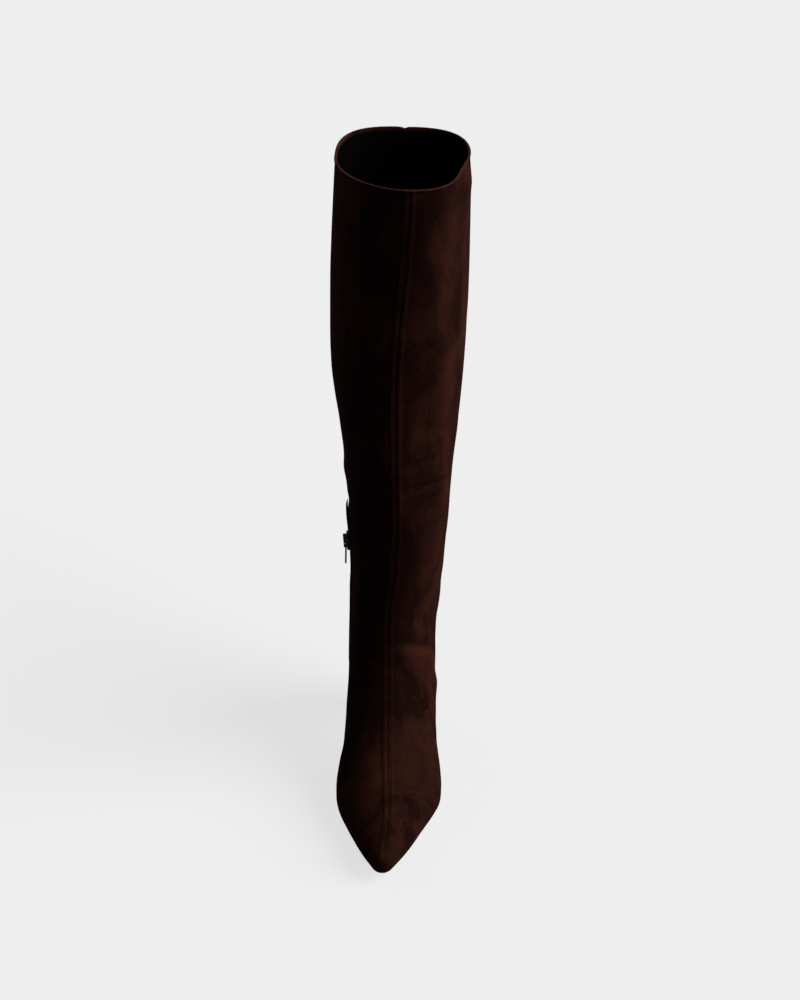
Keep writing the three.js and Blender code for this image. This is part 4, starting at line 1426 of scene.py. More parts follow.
@dataclass
class Outsole:
    """The thin sole: follows toe spring, flat tread and arch, with a rounded lower edge."""

    form: BootForm
    inset: float = 1.0
    edge: float = 1.1
    rows_along: int = 150
    outline_points: int = 700
    last_place: float = 16.2
    reached: float = 0.99999
    end_turn: float = 0.02
    rounding: float = 0.55
    end_room: float = 0.1
    least_half: float = 0.6
    tuck: float = 0.12

    def edges(self, inset: float) -> tuple[np.ndarray, np.ndarray]:
        """The upper's outline at its bottom, drawn in.

        Args:
            inset: how far the outline is drawn in.

        Returns:
            The outer and the inner edge as x and y, both from the toe to the back.
        """
        at = np.linspace(0.0, self.last_place, self.outline_points)
        f = self.form.forms(at)
        low = np.zeros(len(at))
        high = np.ones(len(at))
        for _ in range(HALVINGS):
            share = (low + high) / 2
            y = f[:, 0] + (f[:, 2] - f[:, 0]) * share
            z = f[:, 1] + (f[:, 3] - f[:, 1]) * share
            above = z > self.form.bottom_height(y)
            low = np.where(above, share, low)
            high = np.where(above, high, share)
        level = f[:, 7]
        away = np.clip((low - level) / (1 - level), 0, 1)
        half = f[:, 4] * (1 - away ** f[:, 9]) ** (1 / f[:, 9])
        y = f[:, 0] + (f[:, 2] - f[:, 0]) * low
        used = low < self.reached
        outer = np.stack([f[:, 5] + half, y], axis=1)[used]
        inner = np.stack([f[:, 5] - half, y], axis=1)[used]
        ring = clean_polygon(np.concatenate([outer, inner[::-1]]))
        tangent = np.roll(ring, -1, axis=0) - np.roll(ring, 1, axis=0)
        tangent /= np.linalg.norm(tangent, axis=1, keepdims=True)
        drawn = ring + np.stack([-tangent[:, 1], tangent[:, 0]], axis=1) * inset
        split = int(np.argmax(ring[:, 1]))
        return drawn[: split + 1], drawn[split:][::-1]

    def width_at(self, y: np.ndarray, inset: float) -> tuple[np.ndarray, np.ndarray]:
        """Outer and inner edge at places along the foot.

        Args:
            y: the places.
            inset: how far the outline is drawn in.

        Returns:
            The x of the outer and of the inner edge.
        """
        outer, inner = self.edges(inset)
        order_o, order_i = np.argsort(outer[:, 1]), np.argsort(inner[:, 1])
        return (
            np.interp(y, outer[order_o, 1], outer[order_o, 0]),
            np.interp(y, inner[order_i, 1], inner[order_i, 0]),
        )

    def span(self, inset: float) -> tuple[float, float]:
        """First and last place of the drawn-in outline along the foot.

        Args:
            inset: how far the outline is drawn in.

        Returns:
            The place at the toe and the place at the back.
        """
        outer, inner = self.edges(inset)
        both = np.concatenate([outer, inner])
        return float(both[:, 1].min()), float(both[:, 1].max())

    def build(self) -> bpy.types.Object:
        """Builds the sole as one closed plate.

        Returns:
            The piece.
        """
        low, high = self.span(self.inset)
        turned = (1 - np.cos(np.linspace(self.end_turn, math.pi - self.end_turn, self.rows_along))) / 2
        share = self.rounding * turned + (1 - self.rounding) * np.linspace(0, 1, self.rows_along)
        y = low + self.end_room + (high - low - 2 * self.end_room) * share
        outer, inner = self.width_at(y, self.inset)
        middle = (outer + inner) / 2
        half = np.maximum((outer - inner) / 2, self.least_half)
        thick = self.form.sizes.sole_thickness
        top, bottom = -self.tuck, -self.form.sizes.fit - thick
        across = np.linspace(1, -1, 11)
        turn = np.linspace(0, math.pi / 2, 5)
        rows = []
        for place, mid, wide in zip(y, middle, half):
            base = float(self.form.bottom_height(np.array(place)))
            round_off = min(self.edge, wide * 0.5)
            corner = []
            for t in turn:
                corner.append((round_off * (1 - math.cos(t)), bottom + round_off * (1 - math.sin(t))))
            loop = [(mid - wide * a, top) for a in across]
            loop += [(mid + wide - a, h) for a, h in corner]
            loop += [(mid + (wide - round_off) * a, bottom) for a in across[1:-1]]
            loop += [(mid - wide + a, h) for a, h in corner[::-1]]
            rows.append([(x, place, base + h) for x, h in loop])
        piece = shell_of_rows("sole_unit", np.array(rows))
        turn_faces_outwards(piece)
        smooth_by_angle(piece, 40)
        return piece


# The wearing piece from its top down: height over the floor, and how far the outline is drawn in
WEARING_EDGE: tuple[tuple[float, float], ...] = (
    (5.0, 0.5),
    (5.0, 0.0),
    (3.4, 0.0),
    (1.6, 0.0),
    (0.55, 0.03),
    (0.15, 0.25),
    (0.0, 0.6),
    (0.0, 3.0),
)


@dataclass
class Heel:
    """The covered heel and its wearing piece, both drawn from the same sections."""

    sole: Outsole
    seat_length: float = 60.0
    foot_width: float = 27.0
    foot_length: float = 26.0
    inset: float = 1.0
    piece_height: float = 5.0
    levels: int = 46
    side_points: int = 30
    breast_points: int = 11
    corner: float = 1.3
    roundness: float = 2.6
    taper_power: float = 1.7
    taper_swell: float = 0.35
    cover: float = 0.1

    def level(self, share: float) -> list[tuple[float, float, float]]:
        """One section from seat to foot.

        Args:
            share: 0 at the seat, 1 at the foot.

        Returns:
            Points as x, y and the place on the seat that each belongs to.
        """
        setback = self.sole.form.sizes.heel_setback
        breast = setback - self.seat_length
        _, back = self.sole.span(self.sole.inset + self.inset)
        along = np.linspace(0, 1, self.side_points)
        seat_y = breast + (back - 0.15 - breast) * np.sin(along * math.pi / 2)
        outer, inner = self.sole.width_at(seat_y, self.sole.inset + self.inset)
        turn = along * math.pi / 2
        width = (1 - np.sin(turn) ** self.roundness) ** (1 / self.roundness)
        half = np.maximum((self.foot_width / 2) * width, 0.3)
        foot_y = -self.foot_length / 2 + self.foot_length * np.sin(turn) ** 0.9
        y = seat_y + (foot_y - seat_y) * share
        right = outer + (half - outer) * share
        left = inner + (-half - inner) * share
        r = self.corner
        loop = [(right[0] - r, y[0], seat_y[0]), (right[0] - 0.3 * r, y[0] + 0.3 * r, seat_y[0])]
        side_y = y.copy()
        side_y[0] += r
        loop += list(zip(right, side_y, seat_y))
        loop += list(zip(left[::-1], side_y[::-1], seat_y[::-1]))
        loop += [(left[0] + 0.3 * r, y[0] + 0.3 * r, seat_y[0]), (left[0] + r, y[0], seat_y[0])]
        breast_x = np.linspace(left[0] + r, right[0] - r, self.breast_points)[1:-1]
        loop += [(x, y[0], seat_y[0]) for x in breast_x]
        return loop

    def taper(self, down: float) -> float:
        """How far the heel has drawn in, at a share of its height from the top."""
        return 1 - (1 - down) ** self.taper_power * (1 + self.taper_swell * down)

    def build_block(self) -> bpy.types.Object:
        """The heel's body under its suede cover.

        Returns:
            The piece.
        """
        form = self.sole.form
        thick = form.sizes.sole_thickness
        bottom = self.piece_height + self.cover
        rows = []
        for k in range(self.levels):
            up = 1 - k / (self.levels - 1)
            section = self.level(self.taper(1 - up))
            row = []
            for x, y, seat_y in section:
                under = float(form.bottom_height(np.array(seat_y))) - thick - 0.4
                row.append((x, y, bottom + (under - bottom) * up))
            rows.append(row)
        grid = np.array(rows)
        over = grid[..., 2] - (form.bottom_height(grid[..., 1]) - thick - 0.35)
        grid[..., 2] -= np.maximum(over, 0.0)
        piece = shell_of_rows("heel_cover", grid)
        turn_faces_outwards(piece)
        smooth_by_angle(piece, 50)
        return piece

    def build_top_piece(self) -> bpy.types.Object:
        """The wearing piece, with its lower edge rounded.

        Returns:
            The piece.
        """
        section = np.array([(x, y) for x, y, _ in self.level(1.0)])
        middle = section.mean(axis=0)
        rows = []
        size = np.linalg.norm(section - middle, axis=1, keepdims=True)
        for z, draw in WEARING_EDGE:
            drawn = section - (section - middle) / size * draw
            rows.append([(x, y, z) for x, y in drawn])
        piece = shell_of_rows("heel_wearing_piece", np.array(rows))
        turn_faces_outwards(piece)
        smooth_by_angle(piece, 35)
        return piece


def new_group(
    name: str, inputs: dict[str, float], outputs: dict[str, str]
) -> tuple[bpy.types.NodeTree, bpy.types.Node, bpy.types.Node]:
    """Starts a shader node group.

    Args:
        name: name of the group.
        inputs: names and first values of its number inputs.
        outputs: names of its outputs and the types of their sockets.

    Returns:
        The group, its input node and its output node.
    """
    tree = bpy.data.node_groups.new(name, "ShaderNodeTree")
    for title, value in inputs.items():
        socket = tree.interface.new_socket(name=title, in_out="INPUT", socket_type="NodeSocketFloat")
        socket.default_value = value
    for title, kind in outputs.items():
        tree.interface.new_socket(name=title, in_out="OUTPUT", socket_type=kind)
    return tree, tree.nodes.new("NodeGroupInput"), tree.nodes.new("NodeGroupOutput")


class Wiring:
    """Short ways to add and join nodes in one tree."""

    def __init__(self, tree: bpy.types.NodeTree) -> None:
        """Keeps the tree.

        Args:
            tree: the node tree to add to.
        """
        self.tree = tree

    def node(self, kind: str, **values: object) -> bpy.types.Node:
        """Adds a node and sets its properties and inputs.

        Args:
            kind: the node's type, without ShaderNode.
            values: properties by name, or inputs by name with spaces as underscores.

        Returns:
            The node.
        """
        made = self.tree.nodes.new("ShaderNode" + kind)
        for key, value in values.items():
            if hasattr(made, key):
                setattr(made, key, value)
            else:
                made.inputs[key.replace("_", " ")].default_value = value
        return made

    def link(self, source: Socket, target: Socket) -> None:
        """Joins two sockets."""
        self.tree.links.new(source, target)

    def math(
        self,
        operation: str,
        first: Socket | float,
        second: Socket | float | None = None,
        clamp: bool = False,
    ) -> Socket:
        """A Math node on sockets or numbers.

        Args:
            operation: the node's operation.
            first: a socket or a number.
            second: a socket or a number.
            clamp: whether the result is held between 0 and 1.

        Returns:
            The node's output.
        """
        made = self.node("Math", operation=operation, use_clamp=clamp)
        for slot, value in enumerate((first, second)):
            if isinstance(value, Socket):
                self.link(value, made.inputs[slot])
            elif value is not None:
                made.inputs[slot].default_value = value
        return made.outputs[0]

    def ramp(self, source: Socket, low: float, high: float, to_low: float, to_high: float) -> Socket:
        """A smooth Map Range.

        Args:
            source: the value to read.
            low: value that gives to_low.
            high: value that gives to_high.
            to_low: result at the low end.
            to_high: result at the high end.

        Returns:
            The node's output.
        """
        made = self.node("MapRange", interpolation_type="SMOOTHSTEP")
        for slot, value in enumerate((low, high, to_low, to_high)):
            made.inputs[slot + 1].default_value = value
        self.link(source, made.inputs[0])
        return made.outputs[0]

    def noise(
        self, vector: Socket, scale: float, detail: float, rough: float, warp: float = 0.0
    ) -> Socket:
        """A Noise texture's value.

        Args:
            vector: the coordinates that it reads.
            scale: its scale.
            detail: its detail.
            rough: its roughness.
            warp: its distortion.

        Returns:
            The value.
        """
        made = self.node("TexNoise", Scale=scale, Detail=detail, Roughness=rough, Distortion=warp)
        self.link(vector, made.inputs["Vector"])
        return made.outputs[0]

    def mapped(
        self, scale: tuple[float, float, float], turn: tuple[float, float, float] = (0, 0, 0)
    ) -> Socket:
        """Object coordinates, turned and then stretched.

        Args:
            scale: how far they are stretched.
            turn: how far they are turned first, in radians.

        Returns:
            The coordinates.
        """
        coords = self.node("TexCoord")
        first = self.node("Mapping", Rotation=turn)
        self.link(coords.outputs["Object"], first.inputs["Vector"])
        second = self.node("Mapping", Scale=scale)
        self.link(first.outputs[0], second.inputs["Vector"])
        return second.outputs[0]


class NapGroup:
    """The nap of suede: soft patches, finger marks and fine fibres, as one shared node group."""

    _tree: bpy.types.NodeTree | None = None

    @classmethod
    def tree(cls) -> bpy.types.NodeTree:
        """Builds the group the first time it is asked for.

        Returns:
            The group.
        """
        if cls._tree is None:
            cls._tree = cls._build()
        return cls._tree

    @staticmethod
    def _build() -> bpy.types.NodeTree:
        """Adds the nodes: Shade runs from 0, nap laid dark, to 1, nap brushed light.

        Returns:
            The group.
        """
        outputs = {"Shade": "NodeSocketFloat", "Height": "NodeSocketFloat"}
        inputs = {"Patches": 1.0, "Marks": 1.0, "Fibres": 1.0}
        tree, source, target = new_group("suede nap", inputs, outputs)
        w = Wiring(tree)
        patches = w.noise(w.mapped((1, 1, 0.62)), 24.0, 5.0, 0.6, 0.6)
        spread = w.math("SUBTRACT", w.ramp(patches, 0.34, 0.68, 0, 1), 0.5)
        patch = w.math("MULTIPLY", spread, source.outputs["Patches"])
        streaks = w.noise(w.mapped((95.0, 95.0, 9.0), (0.0, math.radians(-14), 0.0)), 1.0, 4.0, 0.6, 0.25)
        gate = w.ramp(w.noise(w.mapped((1, 1, 1), (0.3, 0.2, 0.5)), 13.0, 1.0, 0.5), 0.42, 0.66, 0, 1)
        streak = w.math("MULTIPLY", w.math("SUBTRACT", w.ramp(streaks, 0.36, 0.66, 0, 1), 0.45), gate)
        mark = w.math("MULTIPLY", streak, source.outputs["Marks"])
        fine = w.noise(w.mapped((1, 1, 0.8)), 420.0, 4.0, 0.68)
        fibre = w.noise(w.mapped((1, 1, 0.55)), 1900.0, 3.0, 0.7)
        both = w.math("ADD", w.math("MULTIPLY", fine, 0.5), w.math("MULTIPLY", fibre, 0.5))
        grain = w.math("MULTIPLY", w.math("SUBTRACT", both, 0.5), source.outputs["Fibres"])
        total = w.math("ADD", w.math("MULTIPLY", patch, 0.68), w.math("MULTIPLY", mark, 0.5))
        total = w.math("ADD", total, w.math("MULTIPLY", grain, 1.5))
        tree.links.new(w.math("ADD", total, 0.5, clamp=True), target.inputs["Shade"])
        height = w.math("ADD", w.math("MULTIPLY", fibre, 0.6), w.math("MULTIPLY", fine, 0.8))
        tree.links.new(w.math("ADD", height, w.math("MULTIPLY", patches, 0.5)), target.inputs["Height"])
        return tree


class WeaveGroup:
    """A plain weave by heights along two directions, as one shared node group."""

    _tree: bpy.types.NodeTree | None = None

    @classmethod
    def tree(cls) -> bpy.types.NodeTree:
        """Builds the group the first time it is asked for.

        Returns:
            The group.
        """
        if cls._tree is None:
            cls._tree = cls._build()
        return cls._tree

    @staticmethod
    def _build() -> bpy.types.NodeTree:
        """Adds the nodes: Height is the threads' relief, Shade their soft change of colour.

        Returns:
            The group.
        """
        outputs = {"Shade": "NodeSocketFloat", "Height": "NodeSocketFloat"}
        inputs = {"Threads per metre": 1400.0, "Blotches": 0.4}
        tree, source, target = new_group("plain weave", inputs, outputs)
        w = Wiring(tree)
        coords = w.node("TexCoord")
        split = w.node("SeparateXYZ")
        w.link(coords.outputs["Object"], split.inputs[0])
        across = w.math("ADD", split.outputs[0], split.outputs[1])
        up = w.math("ADD", split.outputs[2], w.math("MULTIPLY", split.outputs[1], 0.35))
        waves = []
        for line in (across, up):
            turns = w.math("MULTIPLY", line, source.outputs["Threads per metre"])
            waves.append(w.math("SINE", w.math("MULTIPLY", turns, math.pi)))
        relief = w.math("MULTIPLY", waves[0], waves[1])
        tree.links.new(w.math("ADD", w.math("MULTIPLY", relief, 0.5), 0.5), target.inputs["Height"])
        blotch = w.noise(w.mapped((1, 1, 1)), 60.0, 3.0, 0.6)
        soft = w.math("MULTIPLY", w.math("SUBTRACT", blotch, 0.5), source.outputs["Blotches"])
        # Colour follows the relief, darker where the threads dip: painted shade, with soft blotches
        shade = w.math("ADD", w.math("MULTIPLY", relief, 0.14), soft)
        tree.links.new(w.math("ADD", shade, 0.5, clamp=True), target.inputs["Shade"])
        return tree


class WearGroup:
    """Fine grain, dust and rubbed spots of hard pieces, as one shared node group."""

    _tree: bpy.types.NodeTree | None = None

    @classmethod
    def tree(cls) -> bpy.types.NodeTree:
        """Builds the group the first time it is asked for.

        Returns:
            The group.
        """
        if cls._tree is None:
            cls._tree = cls._build()
        return cls._tree

    @staticmethod
    def _build() -> bpy.types.NodeTree:
        """Adds the nodes: Rubbed is a mask of worn spots, Height a fine grain.

        Returns:
            The group.
        """
        outputs = {"Rubbed": "NodeSocketFloat", "Height": "NodeSocketFloat"}
        inputs = {"Grain per metre": 900.0, "Wear": 0.5}
        tree, source, target = new_group("wear and grain", inputs, outputs)
        w = Wiring(tree)
        coords = w.node("TexCoord")
        grain = w.node("TexNoise", Detail=4.0, Roughness=0.6)
        w.link(coords.outputs["Object"], grain.inputs["Vector"])
        w.link(source.outputs["Grain per metre"], grain.inputs["Scale"])
        spots = w.noise(w.mapped((1, 1, 1)), 140.0, 5.0, 0.65)
        wear_and_highlight = w.math("MULTIPLY", w.ramp(spots, 0.5, 0.72, 0, 1), source.outputs["Wear"])
        tree.links.new(w.math("MULTIPLY", wear_and_highlight, 1.0, clamp=True), target.inputs["Rubbed"])
        tree.links.new(grain.outputs[0], target.inputs["Height"])
        return tree


def start_material(name: str) -> tuple[bpy.types.Material, Wiring, bpy.types.Node]:
    """A material with only a Principled shader.

    Args:
        name: name of the material.

    Returns:
        The material, its wiring and the shader.
    """
    made = bpy.data.materials.new(name)
    made.use_nodes = True
    shader = made.node_tree.nodes["Principled BSDF"]
    return made, Wiring(made.node_tree), shader


def two_tone(w: Wiring, share: Socket, dark: Colour, light: Colour) -> Socket:
    """Mixes two colours by a share that changes over the surface.

    Args:
        w: the wiring of the material.
        share: the share of the light colour.
        dark: the colour where the share is 0.
        light: the colour where the share is 1.

    Returns:
        The mixed colour.
    """
    mix = w.node("Mix", data_type="RGBA")
    w.link(share, mix.inputs[0])
    mix.inputs[6].default_value = (*dark, 1.0)
    mix.inputs[7].default_value = (*light, 1.0)
    return mix.outputs[2]


@dataclass(frozen=True)
class SuedeFinish:
    """Brushed suede: dark where the nap lies down, warmer and lighter where it stands."""

    name: str = "chocolate suede"
    dark: Colour = (0.0085, 0.0022, 0.0016)
    light: Colour = (0.0420, 0.0120, 0.0078)
    # Colour of the painted highlight along the collar's top edge
    rim: Colour = (0.066, 0.027, 0.0185)
    sheen: float = 0.03
    bump: float = 0.55
    stitch_gap: float = 2.8
    stitch_pitch: float = 2.6
    with_seam: bool = True

    def build(self) -> bpy.types.Material:
        """Builds the material.

        Returns:
            The material.
        """
        made, w, shader = start_material(self.name)
        nap = w.node("Group", node_tree=NapGroup.tree())
        shade = nap.outputs["Shade"]
        height = nap.outputs["Height"]
        if self.with_seam:
            gap = w.node("Attribute", attribute_name="seam_gap").outputs["Fac"]
            run = w.node("Attribute", attribute_name="seam_run").outputs["Fac"]
            # Painted shade in the stitch holes: dark pits one stitch apart along the stitch rows
            turn = w.math("COSINE", w.math("MULTIPLY", run, 2 * math.pi / self.stitch_pitch))
            beside = w.math("ABSOLUTE", w.math("SUBTRACT", gap, self.stitch_gap))
            row = w.ramp(beside, 0.3, 0.6, 1.0, 0.0)
            holes = w.math("MULTIPLY", w.ramp(turn, 0.55, 0.9, 0.0, 1.0), row)
            # Painted shade in the seam's groove, and a painted highlight on the ridges beside it
            groove = w.ramp(gap, 0.0, 0.9, 1.0, 0.0)
            painted_highlight = w.math("MULTIPLY", w.ramp(gap, 0.9, 1.6, 0.0, 1.0), w.ramp(gap, 2.6, 4.2, 1.0, 0.0))
            shade = w.math("ADD", shade, w.math("MULTIPLY", painted_highlight, 0.10), clamp=True)
            shade = w.math("SUBTRACT", shade, w.math("MULTIPLY", groove, 0.5), clamp=True)
            shade = w.math("SUBTRACT", shade, w.math("MULTIPLY", holes, 0.6), clamp=True)
            height = w.math("SUBTRACT", height, w.math("MULTIPLY", holes, 1.5))
            # Strokes across the nap, and bands of painted shade on the inner side
            nap_tone_and_shade = w.node("Attribute", attribute_name="nap_tone_and_shade").outputs["Fac"]
            shade = w.math("ADD", shade, nap_tone_and_shade, clamp=True)
        colour = two_tone(w, shade, self.dark, self.light)
        if self.with_seam:
            # Painted highlight: the collar's top edge is mixed towards the rim colour, more where the nap
            # is light
            rim = w.node("Attribute", attribute_name="rim").outputs["Fac"]
            mix = w.node("Mix", data_type="RGBA")
            wear_and_highlight = w.math("ADD", w.math("MULTIPLY", nap.outputs["Shade"], 0.5), 0.35)
            w.link(w.math("MULTIPLY", rim, wear_and_highlight), mix.inputs[0])
            w.link(colour, mix.inputs[6])
            mix.inputs[7].default_value = (*self.rim, 1.0)
            colour = mix.outputs[2]
        w.link(colour, shader.inputs["Base Color"])
        w.link(w.ramp(shade, 0.0, 1.0, 0.82, 0.98), shader.inputs["Roughness"])
        bump = w.node("Bump", Strength=self.bump, Distance=0.0005)
        w.link(height, bump.inputs["Height"])
        w.link(bump.outputs[0], shader.inputs["Normal"])
        shader.inputs["Sheen Weight"].default_value = self.sheen
        shader.inputs["Sheen Roughness"].default_value = 0.55
        shader.inputs["Sheen Tint"].default_value = (0.40, 0.19, 0.12, 1.0)
        shader.inputs["Specular IOR Level"].default_value = 0.02
        return made


@dataclass(frozen=True)
class ClothFinish:
    """A woven lining or tape."""

    name: str
    dark: Colour
    light: Colour
    threads: float
    roughness: float = 0.85
    gloss: float = 0.08

    def build(self) -> bpy.types.Material:
        """Builds the material.

        Returns:
            The material.
        """
        made, w, shader = start_material(self.name)
        weave = w.node("Group", node_tree=WeaveGroup.tree())
        weave.inputs["Threads per metre"].default_value = self.threads
        w.link(two_tone(w, weave.outputs["Shade"], self.dark, self.light), shader.inputs["Base Color"])
        bump = w.node("Bump", Strength=0.35, Distance=0.0003)
        w.link(weave.outputs["Height"], bump.inputs["Height"])
        w.link(bump.outputs[0], shader.inputs["Normal"])
        shader.inputs["Roughness"].default_value = self.roughness
        shader.inputs["Specular IOR Level"].default_value = self.gloss
        return made


@dataclass(frozen=True)
class HardFinish:
    """Rubber, painted metal or moulded plastic with a fine grain and rubbed spots."""

    name: str
    colour: Colour
    wear_and_highlight: Colour
    roughness: float
    grain: float
    bump: float = 0.2
    wear: float = 0.5
    metal: float = 0.0
    coat: float = 0.0
    gloss: float = 0.5

    def build(self) -> bpy.types.Material:
        """Builds the material.

        Returns:
            The material.
        """
        made, w, shader = start_material(self.name)
        wear = w.node("Group", node_tree=WearGroup.tree())
        wear.inputs["Grain per metre"].default_value = self.grain
        wear.inputs["Wear"].default_value = self.wear
        w.link(two_tone(w, wear.outputs["Rubbed"], self.colour, self.wear_and_highlight), shader.inputs["Base Color"])
        least, most = max(self.roughness - 0.08, 0.05), min(self.roughness + 0.1, 1.0)
        rough = w.ramp(wear.outputs["Height"], 0.2, 0.8, least, most)
        w.link(rough, shader.inputs["Roughness"])
        bump = w.node("Bump", Strength=self.bump, Distance=0.0002)
        w.link(wear.outputs["Height"], bump.inputs["Height"])
        w.link(bump.outputs[0], shader.inputs["Normal"])
        shader.inputs["Metallic"].default_value = self.metal
        shader.inputs["Coat Weight"].default_value = self.coat
        shader.inputs["Specular IOR Level"].default_value = self.gloss
        return made


class Finishes:
    """All finishes of the boot, each built once."""

    def __init__(self) -> None:
        """Builds the materials."""
        self.suede = SuedeFinish().build()
        self.cover = SuedeFinish(name="heel cover suede", with_seam=False).build()
        # Near black: the lining's own dark colour, darkened further as painted shade inside the shaft
        self.lining = ClothFinish(
            "dark lining with painted shade", (0.0008, 0.0006, 0.0006), (0.0030, 0.0022, 0.0020), 1500.0, 1.0, gloss=0.0
        ).build()
        self.tape = ClothFinish(
            "zip tape weave", (0.005, 0.003, 0.0025), (0.014, 0.008, 0.006), 1300.0
        ).build()
        self.sock = ClothFinish(
            "sock cloth", (0.008, 0.006, 0.005), (0.022, 0.016, 0.013), 1200.0
        ).build()
        self.thread = ClothFinish(
            "stitching thread", (0.015, 0.0050, 0.0036), (0.036, 0.0135, 0.0095), 3000.0, 0.9, gloss=0.02
        ).build()
        self.sole = HardFinish(
            "sole rubber", (0.0055, 0.0030, 0.0024), (0.014, 0.009, 0.0075), 0.7, 700.0, gloss=0.12
        ).build()
        self.top_piece = HardFinish(
            "heel wearing rubber", (0.008, 0.007, 0.0065), (0.03, 0.028, 0.026), 0.6, 1200.0
        ).build()
        self.metal = HardFinish(
            "black zip metal",
            colour=(0.010, 0.010, 0.0105),
            wear_and_highlight=(0.09, 0.085, 0.08),
            roughness=0.32,
            grain=1500.0,
            bump=0.06,
            wear=0.25,
            metal=0.7,
            coat=0.3,
        ).build()
        self.teeth = HardFinish(
            "zip teeth", (0.012, 0.010, 0.009), (0.05, 0.045, 0.04), 0.38, 1500.0, bump=0.05, wear=0.3
        ).build()


def dress(piece: bpy.types.Object, *finishes: bpy.types.Material) -> None:
    """Gives a piece its finishes.

    Args:
        piece: the piece.
        finishes: the finishes, in the order of its material slots.
    """
    while len(piece.data.materials) < len(finishes):
        piece.data.materials.append(None)
    for slot, finish in enumerate(finishes):
        piece.data.materials[slot] = finish


@dataclass
class Studio:
    """The pale floor, the soft light and the camera at the photograph's angle."""

    floor_half: float = 6.0
    camera_place: tuple[float, float, float] = (0.0087, -1.2422, 0.899)
    heading: float = 3.0
    pitch: float = 29.4
    side_turn: float = 2.39
    lens: float = 64.8

    def build_camera(self) -> None:
        """Adds the camera and makes it the scene's."""
        camera = bpy.data.objects.new("camera", bpy.data.cameras.new("camera"))
        camera.data.lens = self.lens
        camera.data.sensor_width = 36.0
        camera.data.clip_start = 0.02
        bpy.context.scene.collection.objects.link(camera)
        turned = Matrix.Rotation(math.radians(self.heading), 4, "Z")
        turned = turned @ Matrix.Rotation(math.radians(90 - self.pitch), 4, "X")
        turned = turned @ Matrix.Rotation(math.radians(-self.side_turn), 4, "Y")
        camera.matrix_world = Matrix.Translation(self.camera_place) @ turned
        bpy.context.scene.camera = camera

    def build_floor(self) -> None:
        """Adds the pale floor, which throws little light back on the boot."""
        deselect_all()
        bpy.ops.mesh.primitive_plane_add(size=2 * self.floor_half, location=(0, 0, -0.0004))
        floor = bpy.context.object
        floor.name = "studio_floor"
        made, w, shader = start_material("pale paper")
        paper = w.noise(w.mapped((1, 1, 1)), 3.0, 2.0, 0.5)
        pale = two_tone(w, paper, (0.175, 0.175, 0.175), (0.185, 0.185, 0.185))
        w.link(pale, shader.inputs["Base Color"])
        path = w.node("LightPath")
        shader.inputs["Emission Color"].default_value = (1.0, 1.0, 1.0, 1.0)
        seen = w.math("MULTIPLY", path.outputs["Is Camera Ray"], 0.71)
        w.link(seen, shader.inputs["Emission Strength"])
        shader.inputs["Roughness"].default_value = 0.95
        shader.inputs["Specular IOR Level"].default_value = 0.0
        dress(floor, made)

    def add_light(
        self, name: str, toward: tuple[float, float, float], spread: float, power: float
    ) -> None:
        """Adds a wide soft light that shines evenly over floor and boot.

        Args:
            name: name of the light.
            toward: direction from the boot to the light.
            spread: width of the light as an angle in degrees.
            power: its strength.
        """
        lamp = bpy.data.lights.new(name, "SUN")
        lamp.angle = math.radians(spread)
        lamp.energy = power
        light = bpy.data.objects.new(name, lamp)
        bpy.context.scene.collection.objects.link(light)
        light.location = Vector(toward).normalized() * 2.0
        light.rotation_euler = (-Vector(toward)).to_track_quat("-Z", "Y").to_euler()

    def build_light(self) -> None:
        """Adds a pale world with little light of its own, and the soft lights at the right and above."""
        bpy.context.scene.view_settings.view_transform = "Standard"
        world = bpy.data.worlds.new("studio")
        bpy.context.scene.world = world
        world.use_nodes = True
        w = Wiring(world.node_tree)
        back = world.node_tree.nodes["Background"]
        back.inputs["Color"].default_value = (0.87, 0.87, 0.87, 1.0)
        path = w.node("LightPath")
        w.link(w.ramp(path.outputs["Is Camera Ray"], 0.0, 1.0, 0.05, 1.0), back.inputs["Strength"])
        self.add_light("soft light right", (1.0, -0.16, 0.72), 50.0, 3.8)
        self.add_light("soft light back left", (-0.7, 0.9, 0.7), 90.0, 0.35)


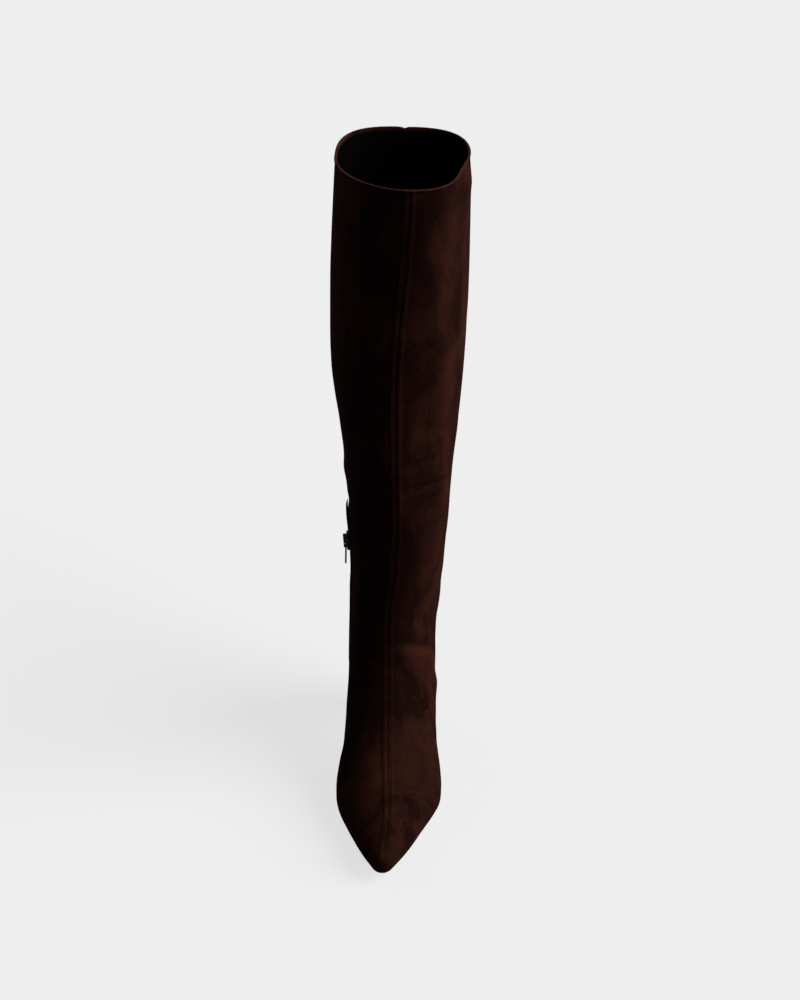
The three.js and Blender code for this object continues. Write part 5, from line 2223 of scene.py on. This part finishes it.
class Boot:
    """The whole boot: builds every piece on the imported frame, dresses it and puts it on its body."""

    def __init__(self, frame: dict, finishes: Finishes) -> None:
        """Keeps the frame and the finishes.

        Args:
            finishes: the boot's finishes.
        """
        self.nodes = frame["nodes"]
        self.finishes = finishes
        self.form = BootForm(SIZES)
        self.zip = HalfZip(InnerSide(self.form))

    def place(
        self,
        piece: bpy.types.Object,
        body: Body,
        slot: str,
        replaced: tuple[str, ...],
        *looks: bpy.types.Material,
    ) -> None:
        """Dresses a piece, puts it on a body and reports it.

        Args:
            piece: the piece.
            body: the body that it moves with.
            slot: the record's material slot; not used.
            replaced: nodes that the piece stands for.
            looks: its finishes, in the order of its material slots.
        """
        dress(piece, *looks)
        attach(piece, body.value)
        if replaced:
            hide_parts(*replaced)
        log.info("%s: %d faces", piece.name, len(piece.data.polygons))

    def build_upper(self) -> None:
        """The upper with its slot for the zip, and the stitches beside the front seam."""
        looks = self.finishes
        upper = Upper(self.form)
        piece = upper.build()
        dress(piece, looks.suede, looks.lining)
        self.zip.cut_slot(piece)
        smooth_by_angle(piece, 80)
        self.place(piece, Body.BOOT, "suede", ("upper",), looks.suede, looks.lining)
        normals = grid_normals(upper.face)
        run = upper.seam_run()
        lines = []
        for column in (upper.stitch_gap_column, -upper.stitch_gap_column):
            use = slice(5, len(upper.face) - 2)
            out = normals[use, column % upper.section.count, :]
            lines.append((upper.seam_path(column)[use], out, run[use]))
        stitches = Stitching().row("front_seam_stitches", lines)
        self.place(stitches, Body.BOOT, "suede", (), looks.thread)

    def build_zip(self) -> None:
        """Placket edges, stitches, teeth, slider and pull tab."""
        looks = self.finishes
        edges = {"placket_edge_front": PlacketSide.FRONT, "placket_edge_back": PlacketSide.BACK}
        for name, way in edges.items():
            self.place(self.zip.placket_edge(name, way), Body.BOOT, "suede", (), looks.cover)
        stitches = Stitching().row("placket_stitches", self.zip.placket_lines())
        self.place(stitches, Body.BOOT, "suede", (), looks.thread)
        self.place(self.zip.teeth(), Body.BOOT, "teeth", ("zip_chain",), looks.teeth)
        slider = copy_of_node(self.nodes["zip_slider"], "zip_slider_rounded")
        round_edges(slider, 0.35, 3, 30)
        smooth_by_angle(slider, 40)
        self.place(slider, Body.BOOT, "zip_metal", ("zip_slider",), looks.metal)
        pull = copy_of_node(self.nodes["zip_pull_tab"], "zip_pull_rounded")
        round_edges(pull, 0.25, 3, 30)
        smooth_by_angle(pull, 40)
        self.place(pull, Body.PULL, "zip_metal", ("zip_pull_tab",), looks.metal)

    def build_bottom(self) -> None:
        """The sole, the covered heel and its wearing piece."""
        looks = self.finishes
        sole = Outsole(self.form)
        self.place(sole.build(), Body.BOOT, "sole", ("outsole",), looks.sole)
        heel = Heel(sole)
        self.place(heel.build_block(), Body.BOOT, "suede", ("heel_block",), looks.cover)
        self.place(heel.build_top_piece(), Body.BOOT, "top_piece", ("heel_top_piece",), looks.top_piece)

    def dress_nodes(self) -> None:
        """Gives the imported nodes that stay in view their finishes."""
        for name, look in (("insole", self.finishes.sock), ("zip_tape", self.finishes.tape)):
            dress(self.nodes[name], look)
            log.info("%s: packed node, dressed", name)

    def build(self) -> None:
        """Builds all pieces."""
        self.build_upper()
        self.build_zip()
        self.build_bottom()
        self.dress_nodes()


def main() -> None:
    """Builds the boot, the studio and the camera."""
    logging.basicConfig(level=logging.INFO, format="%(message)s")
    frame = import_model()
    Boot(frame, Finishes()).build()
    studio = Studio()
    studio.build_floor()
    studio.build_light()
    studio.build_camera()


if __name__ == "__main__":
    main()
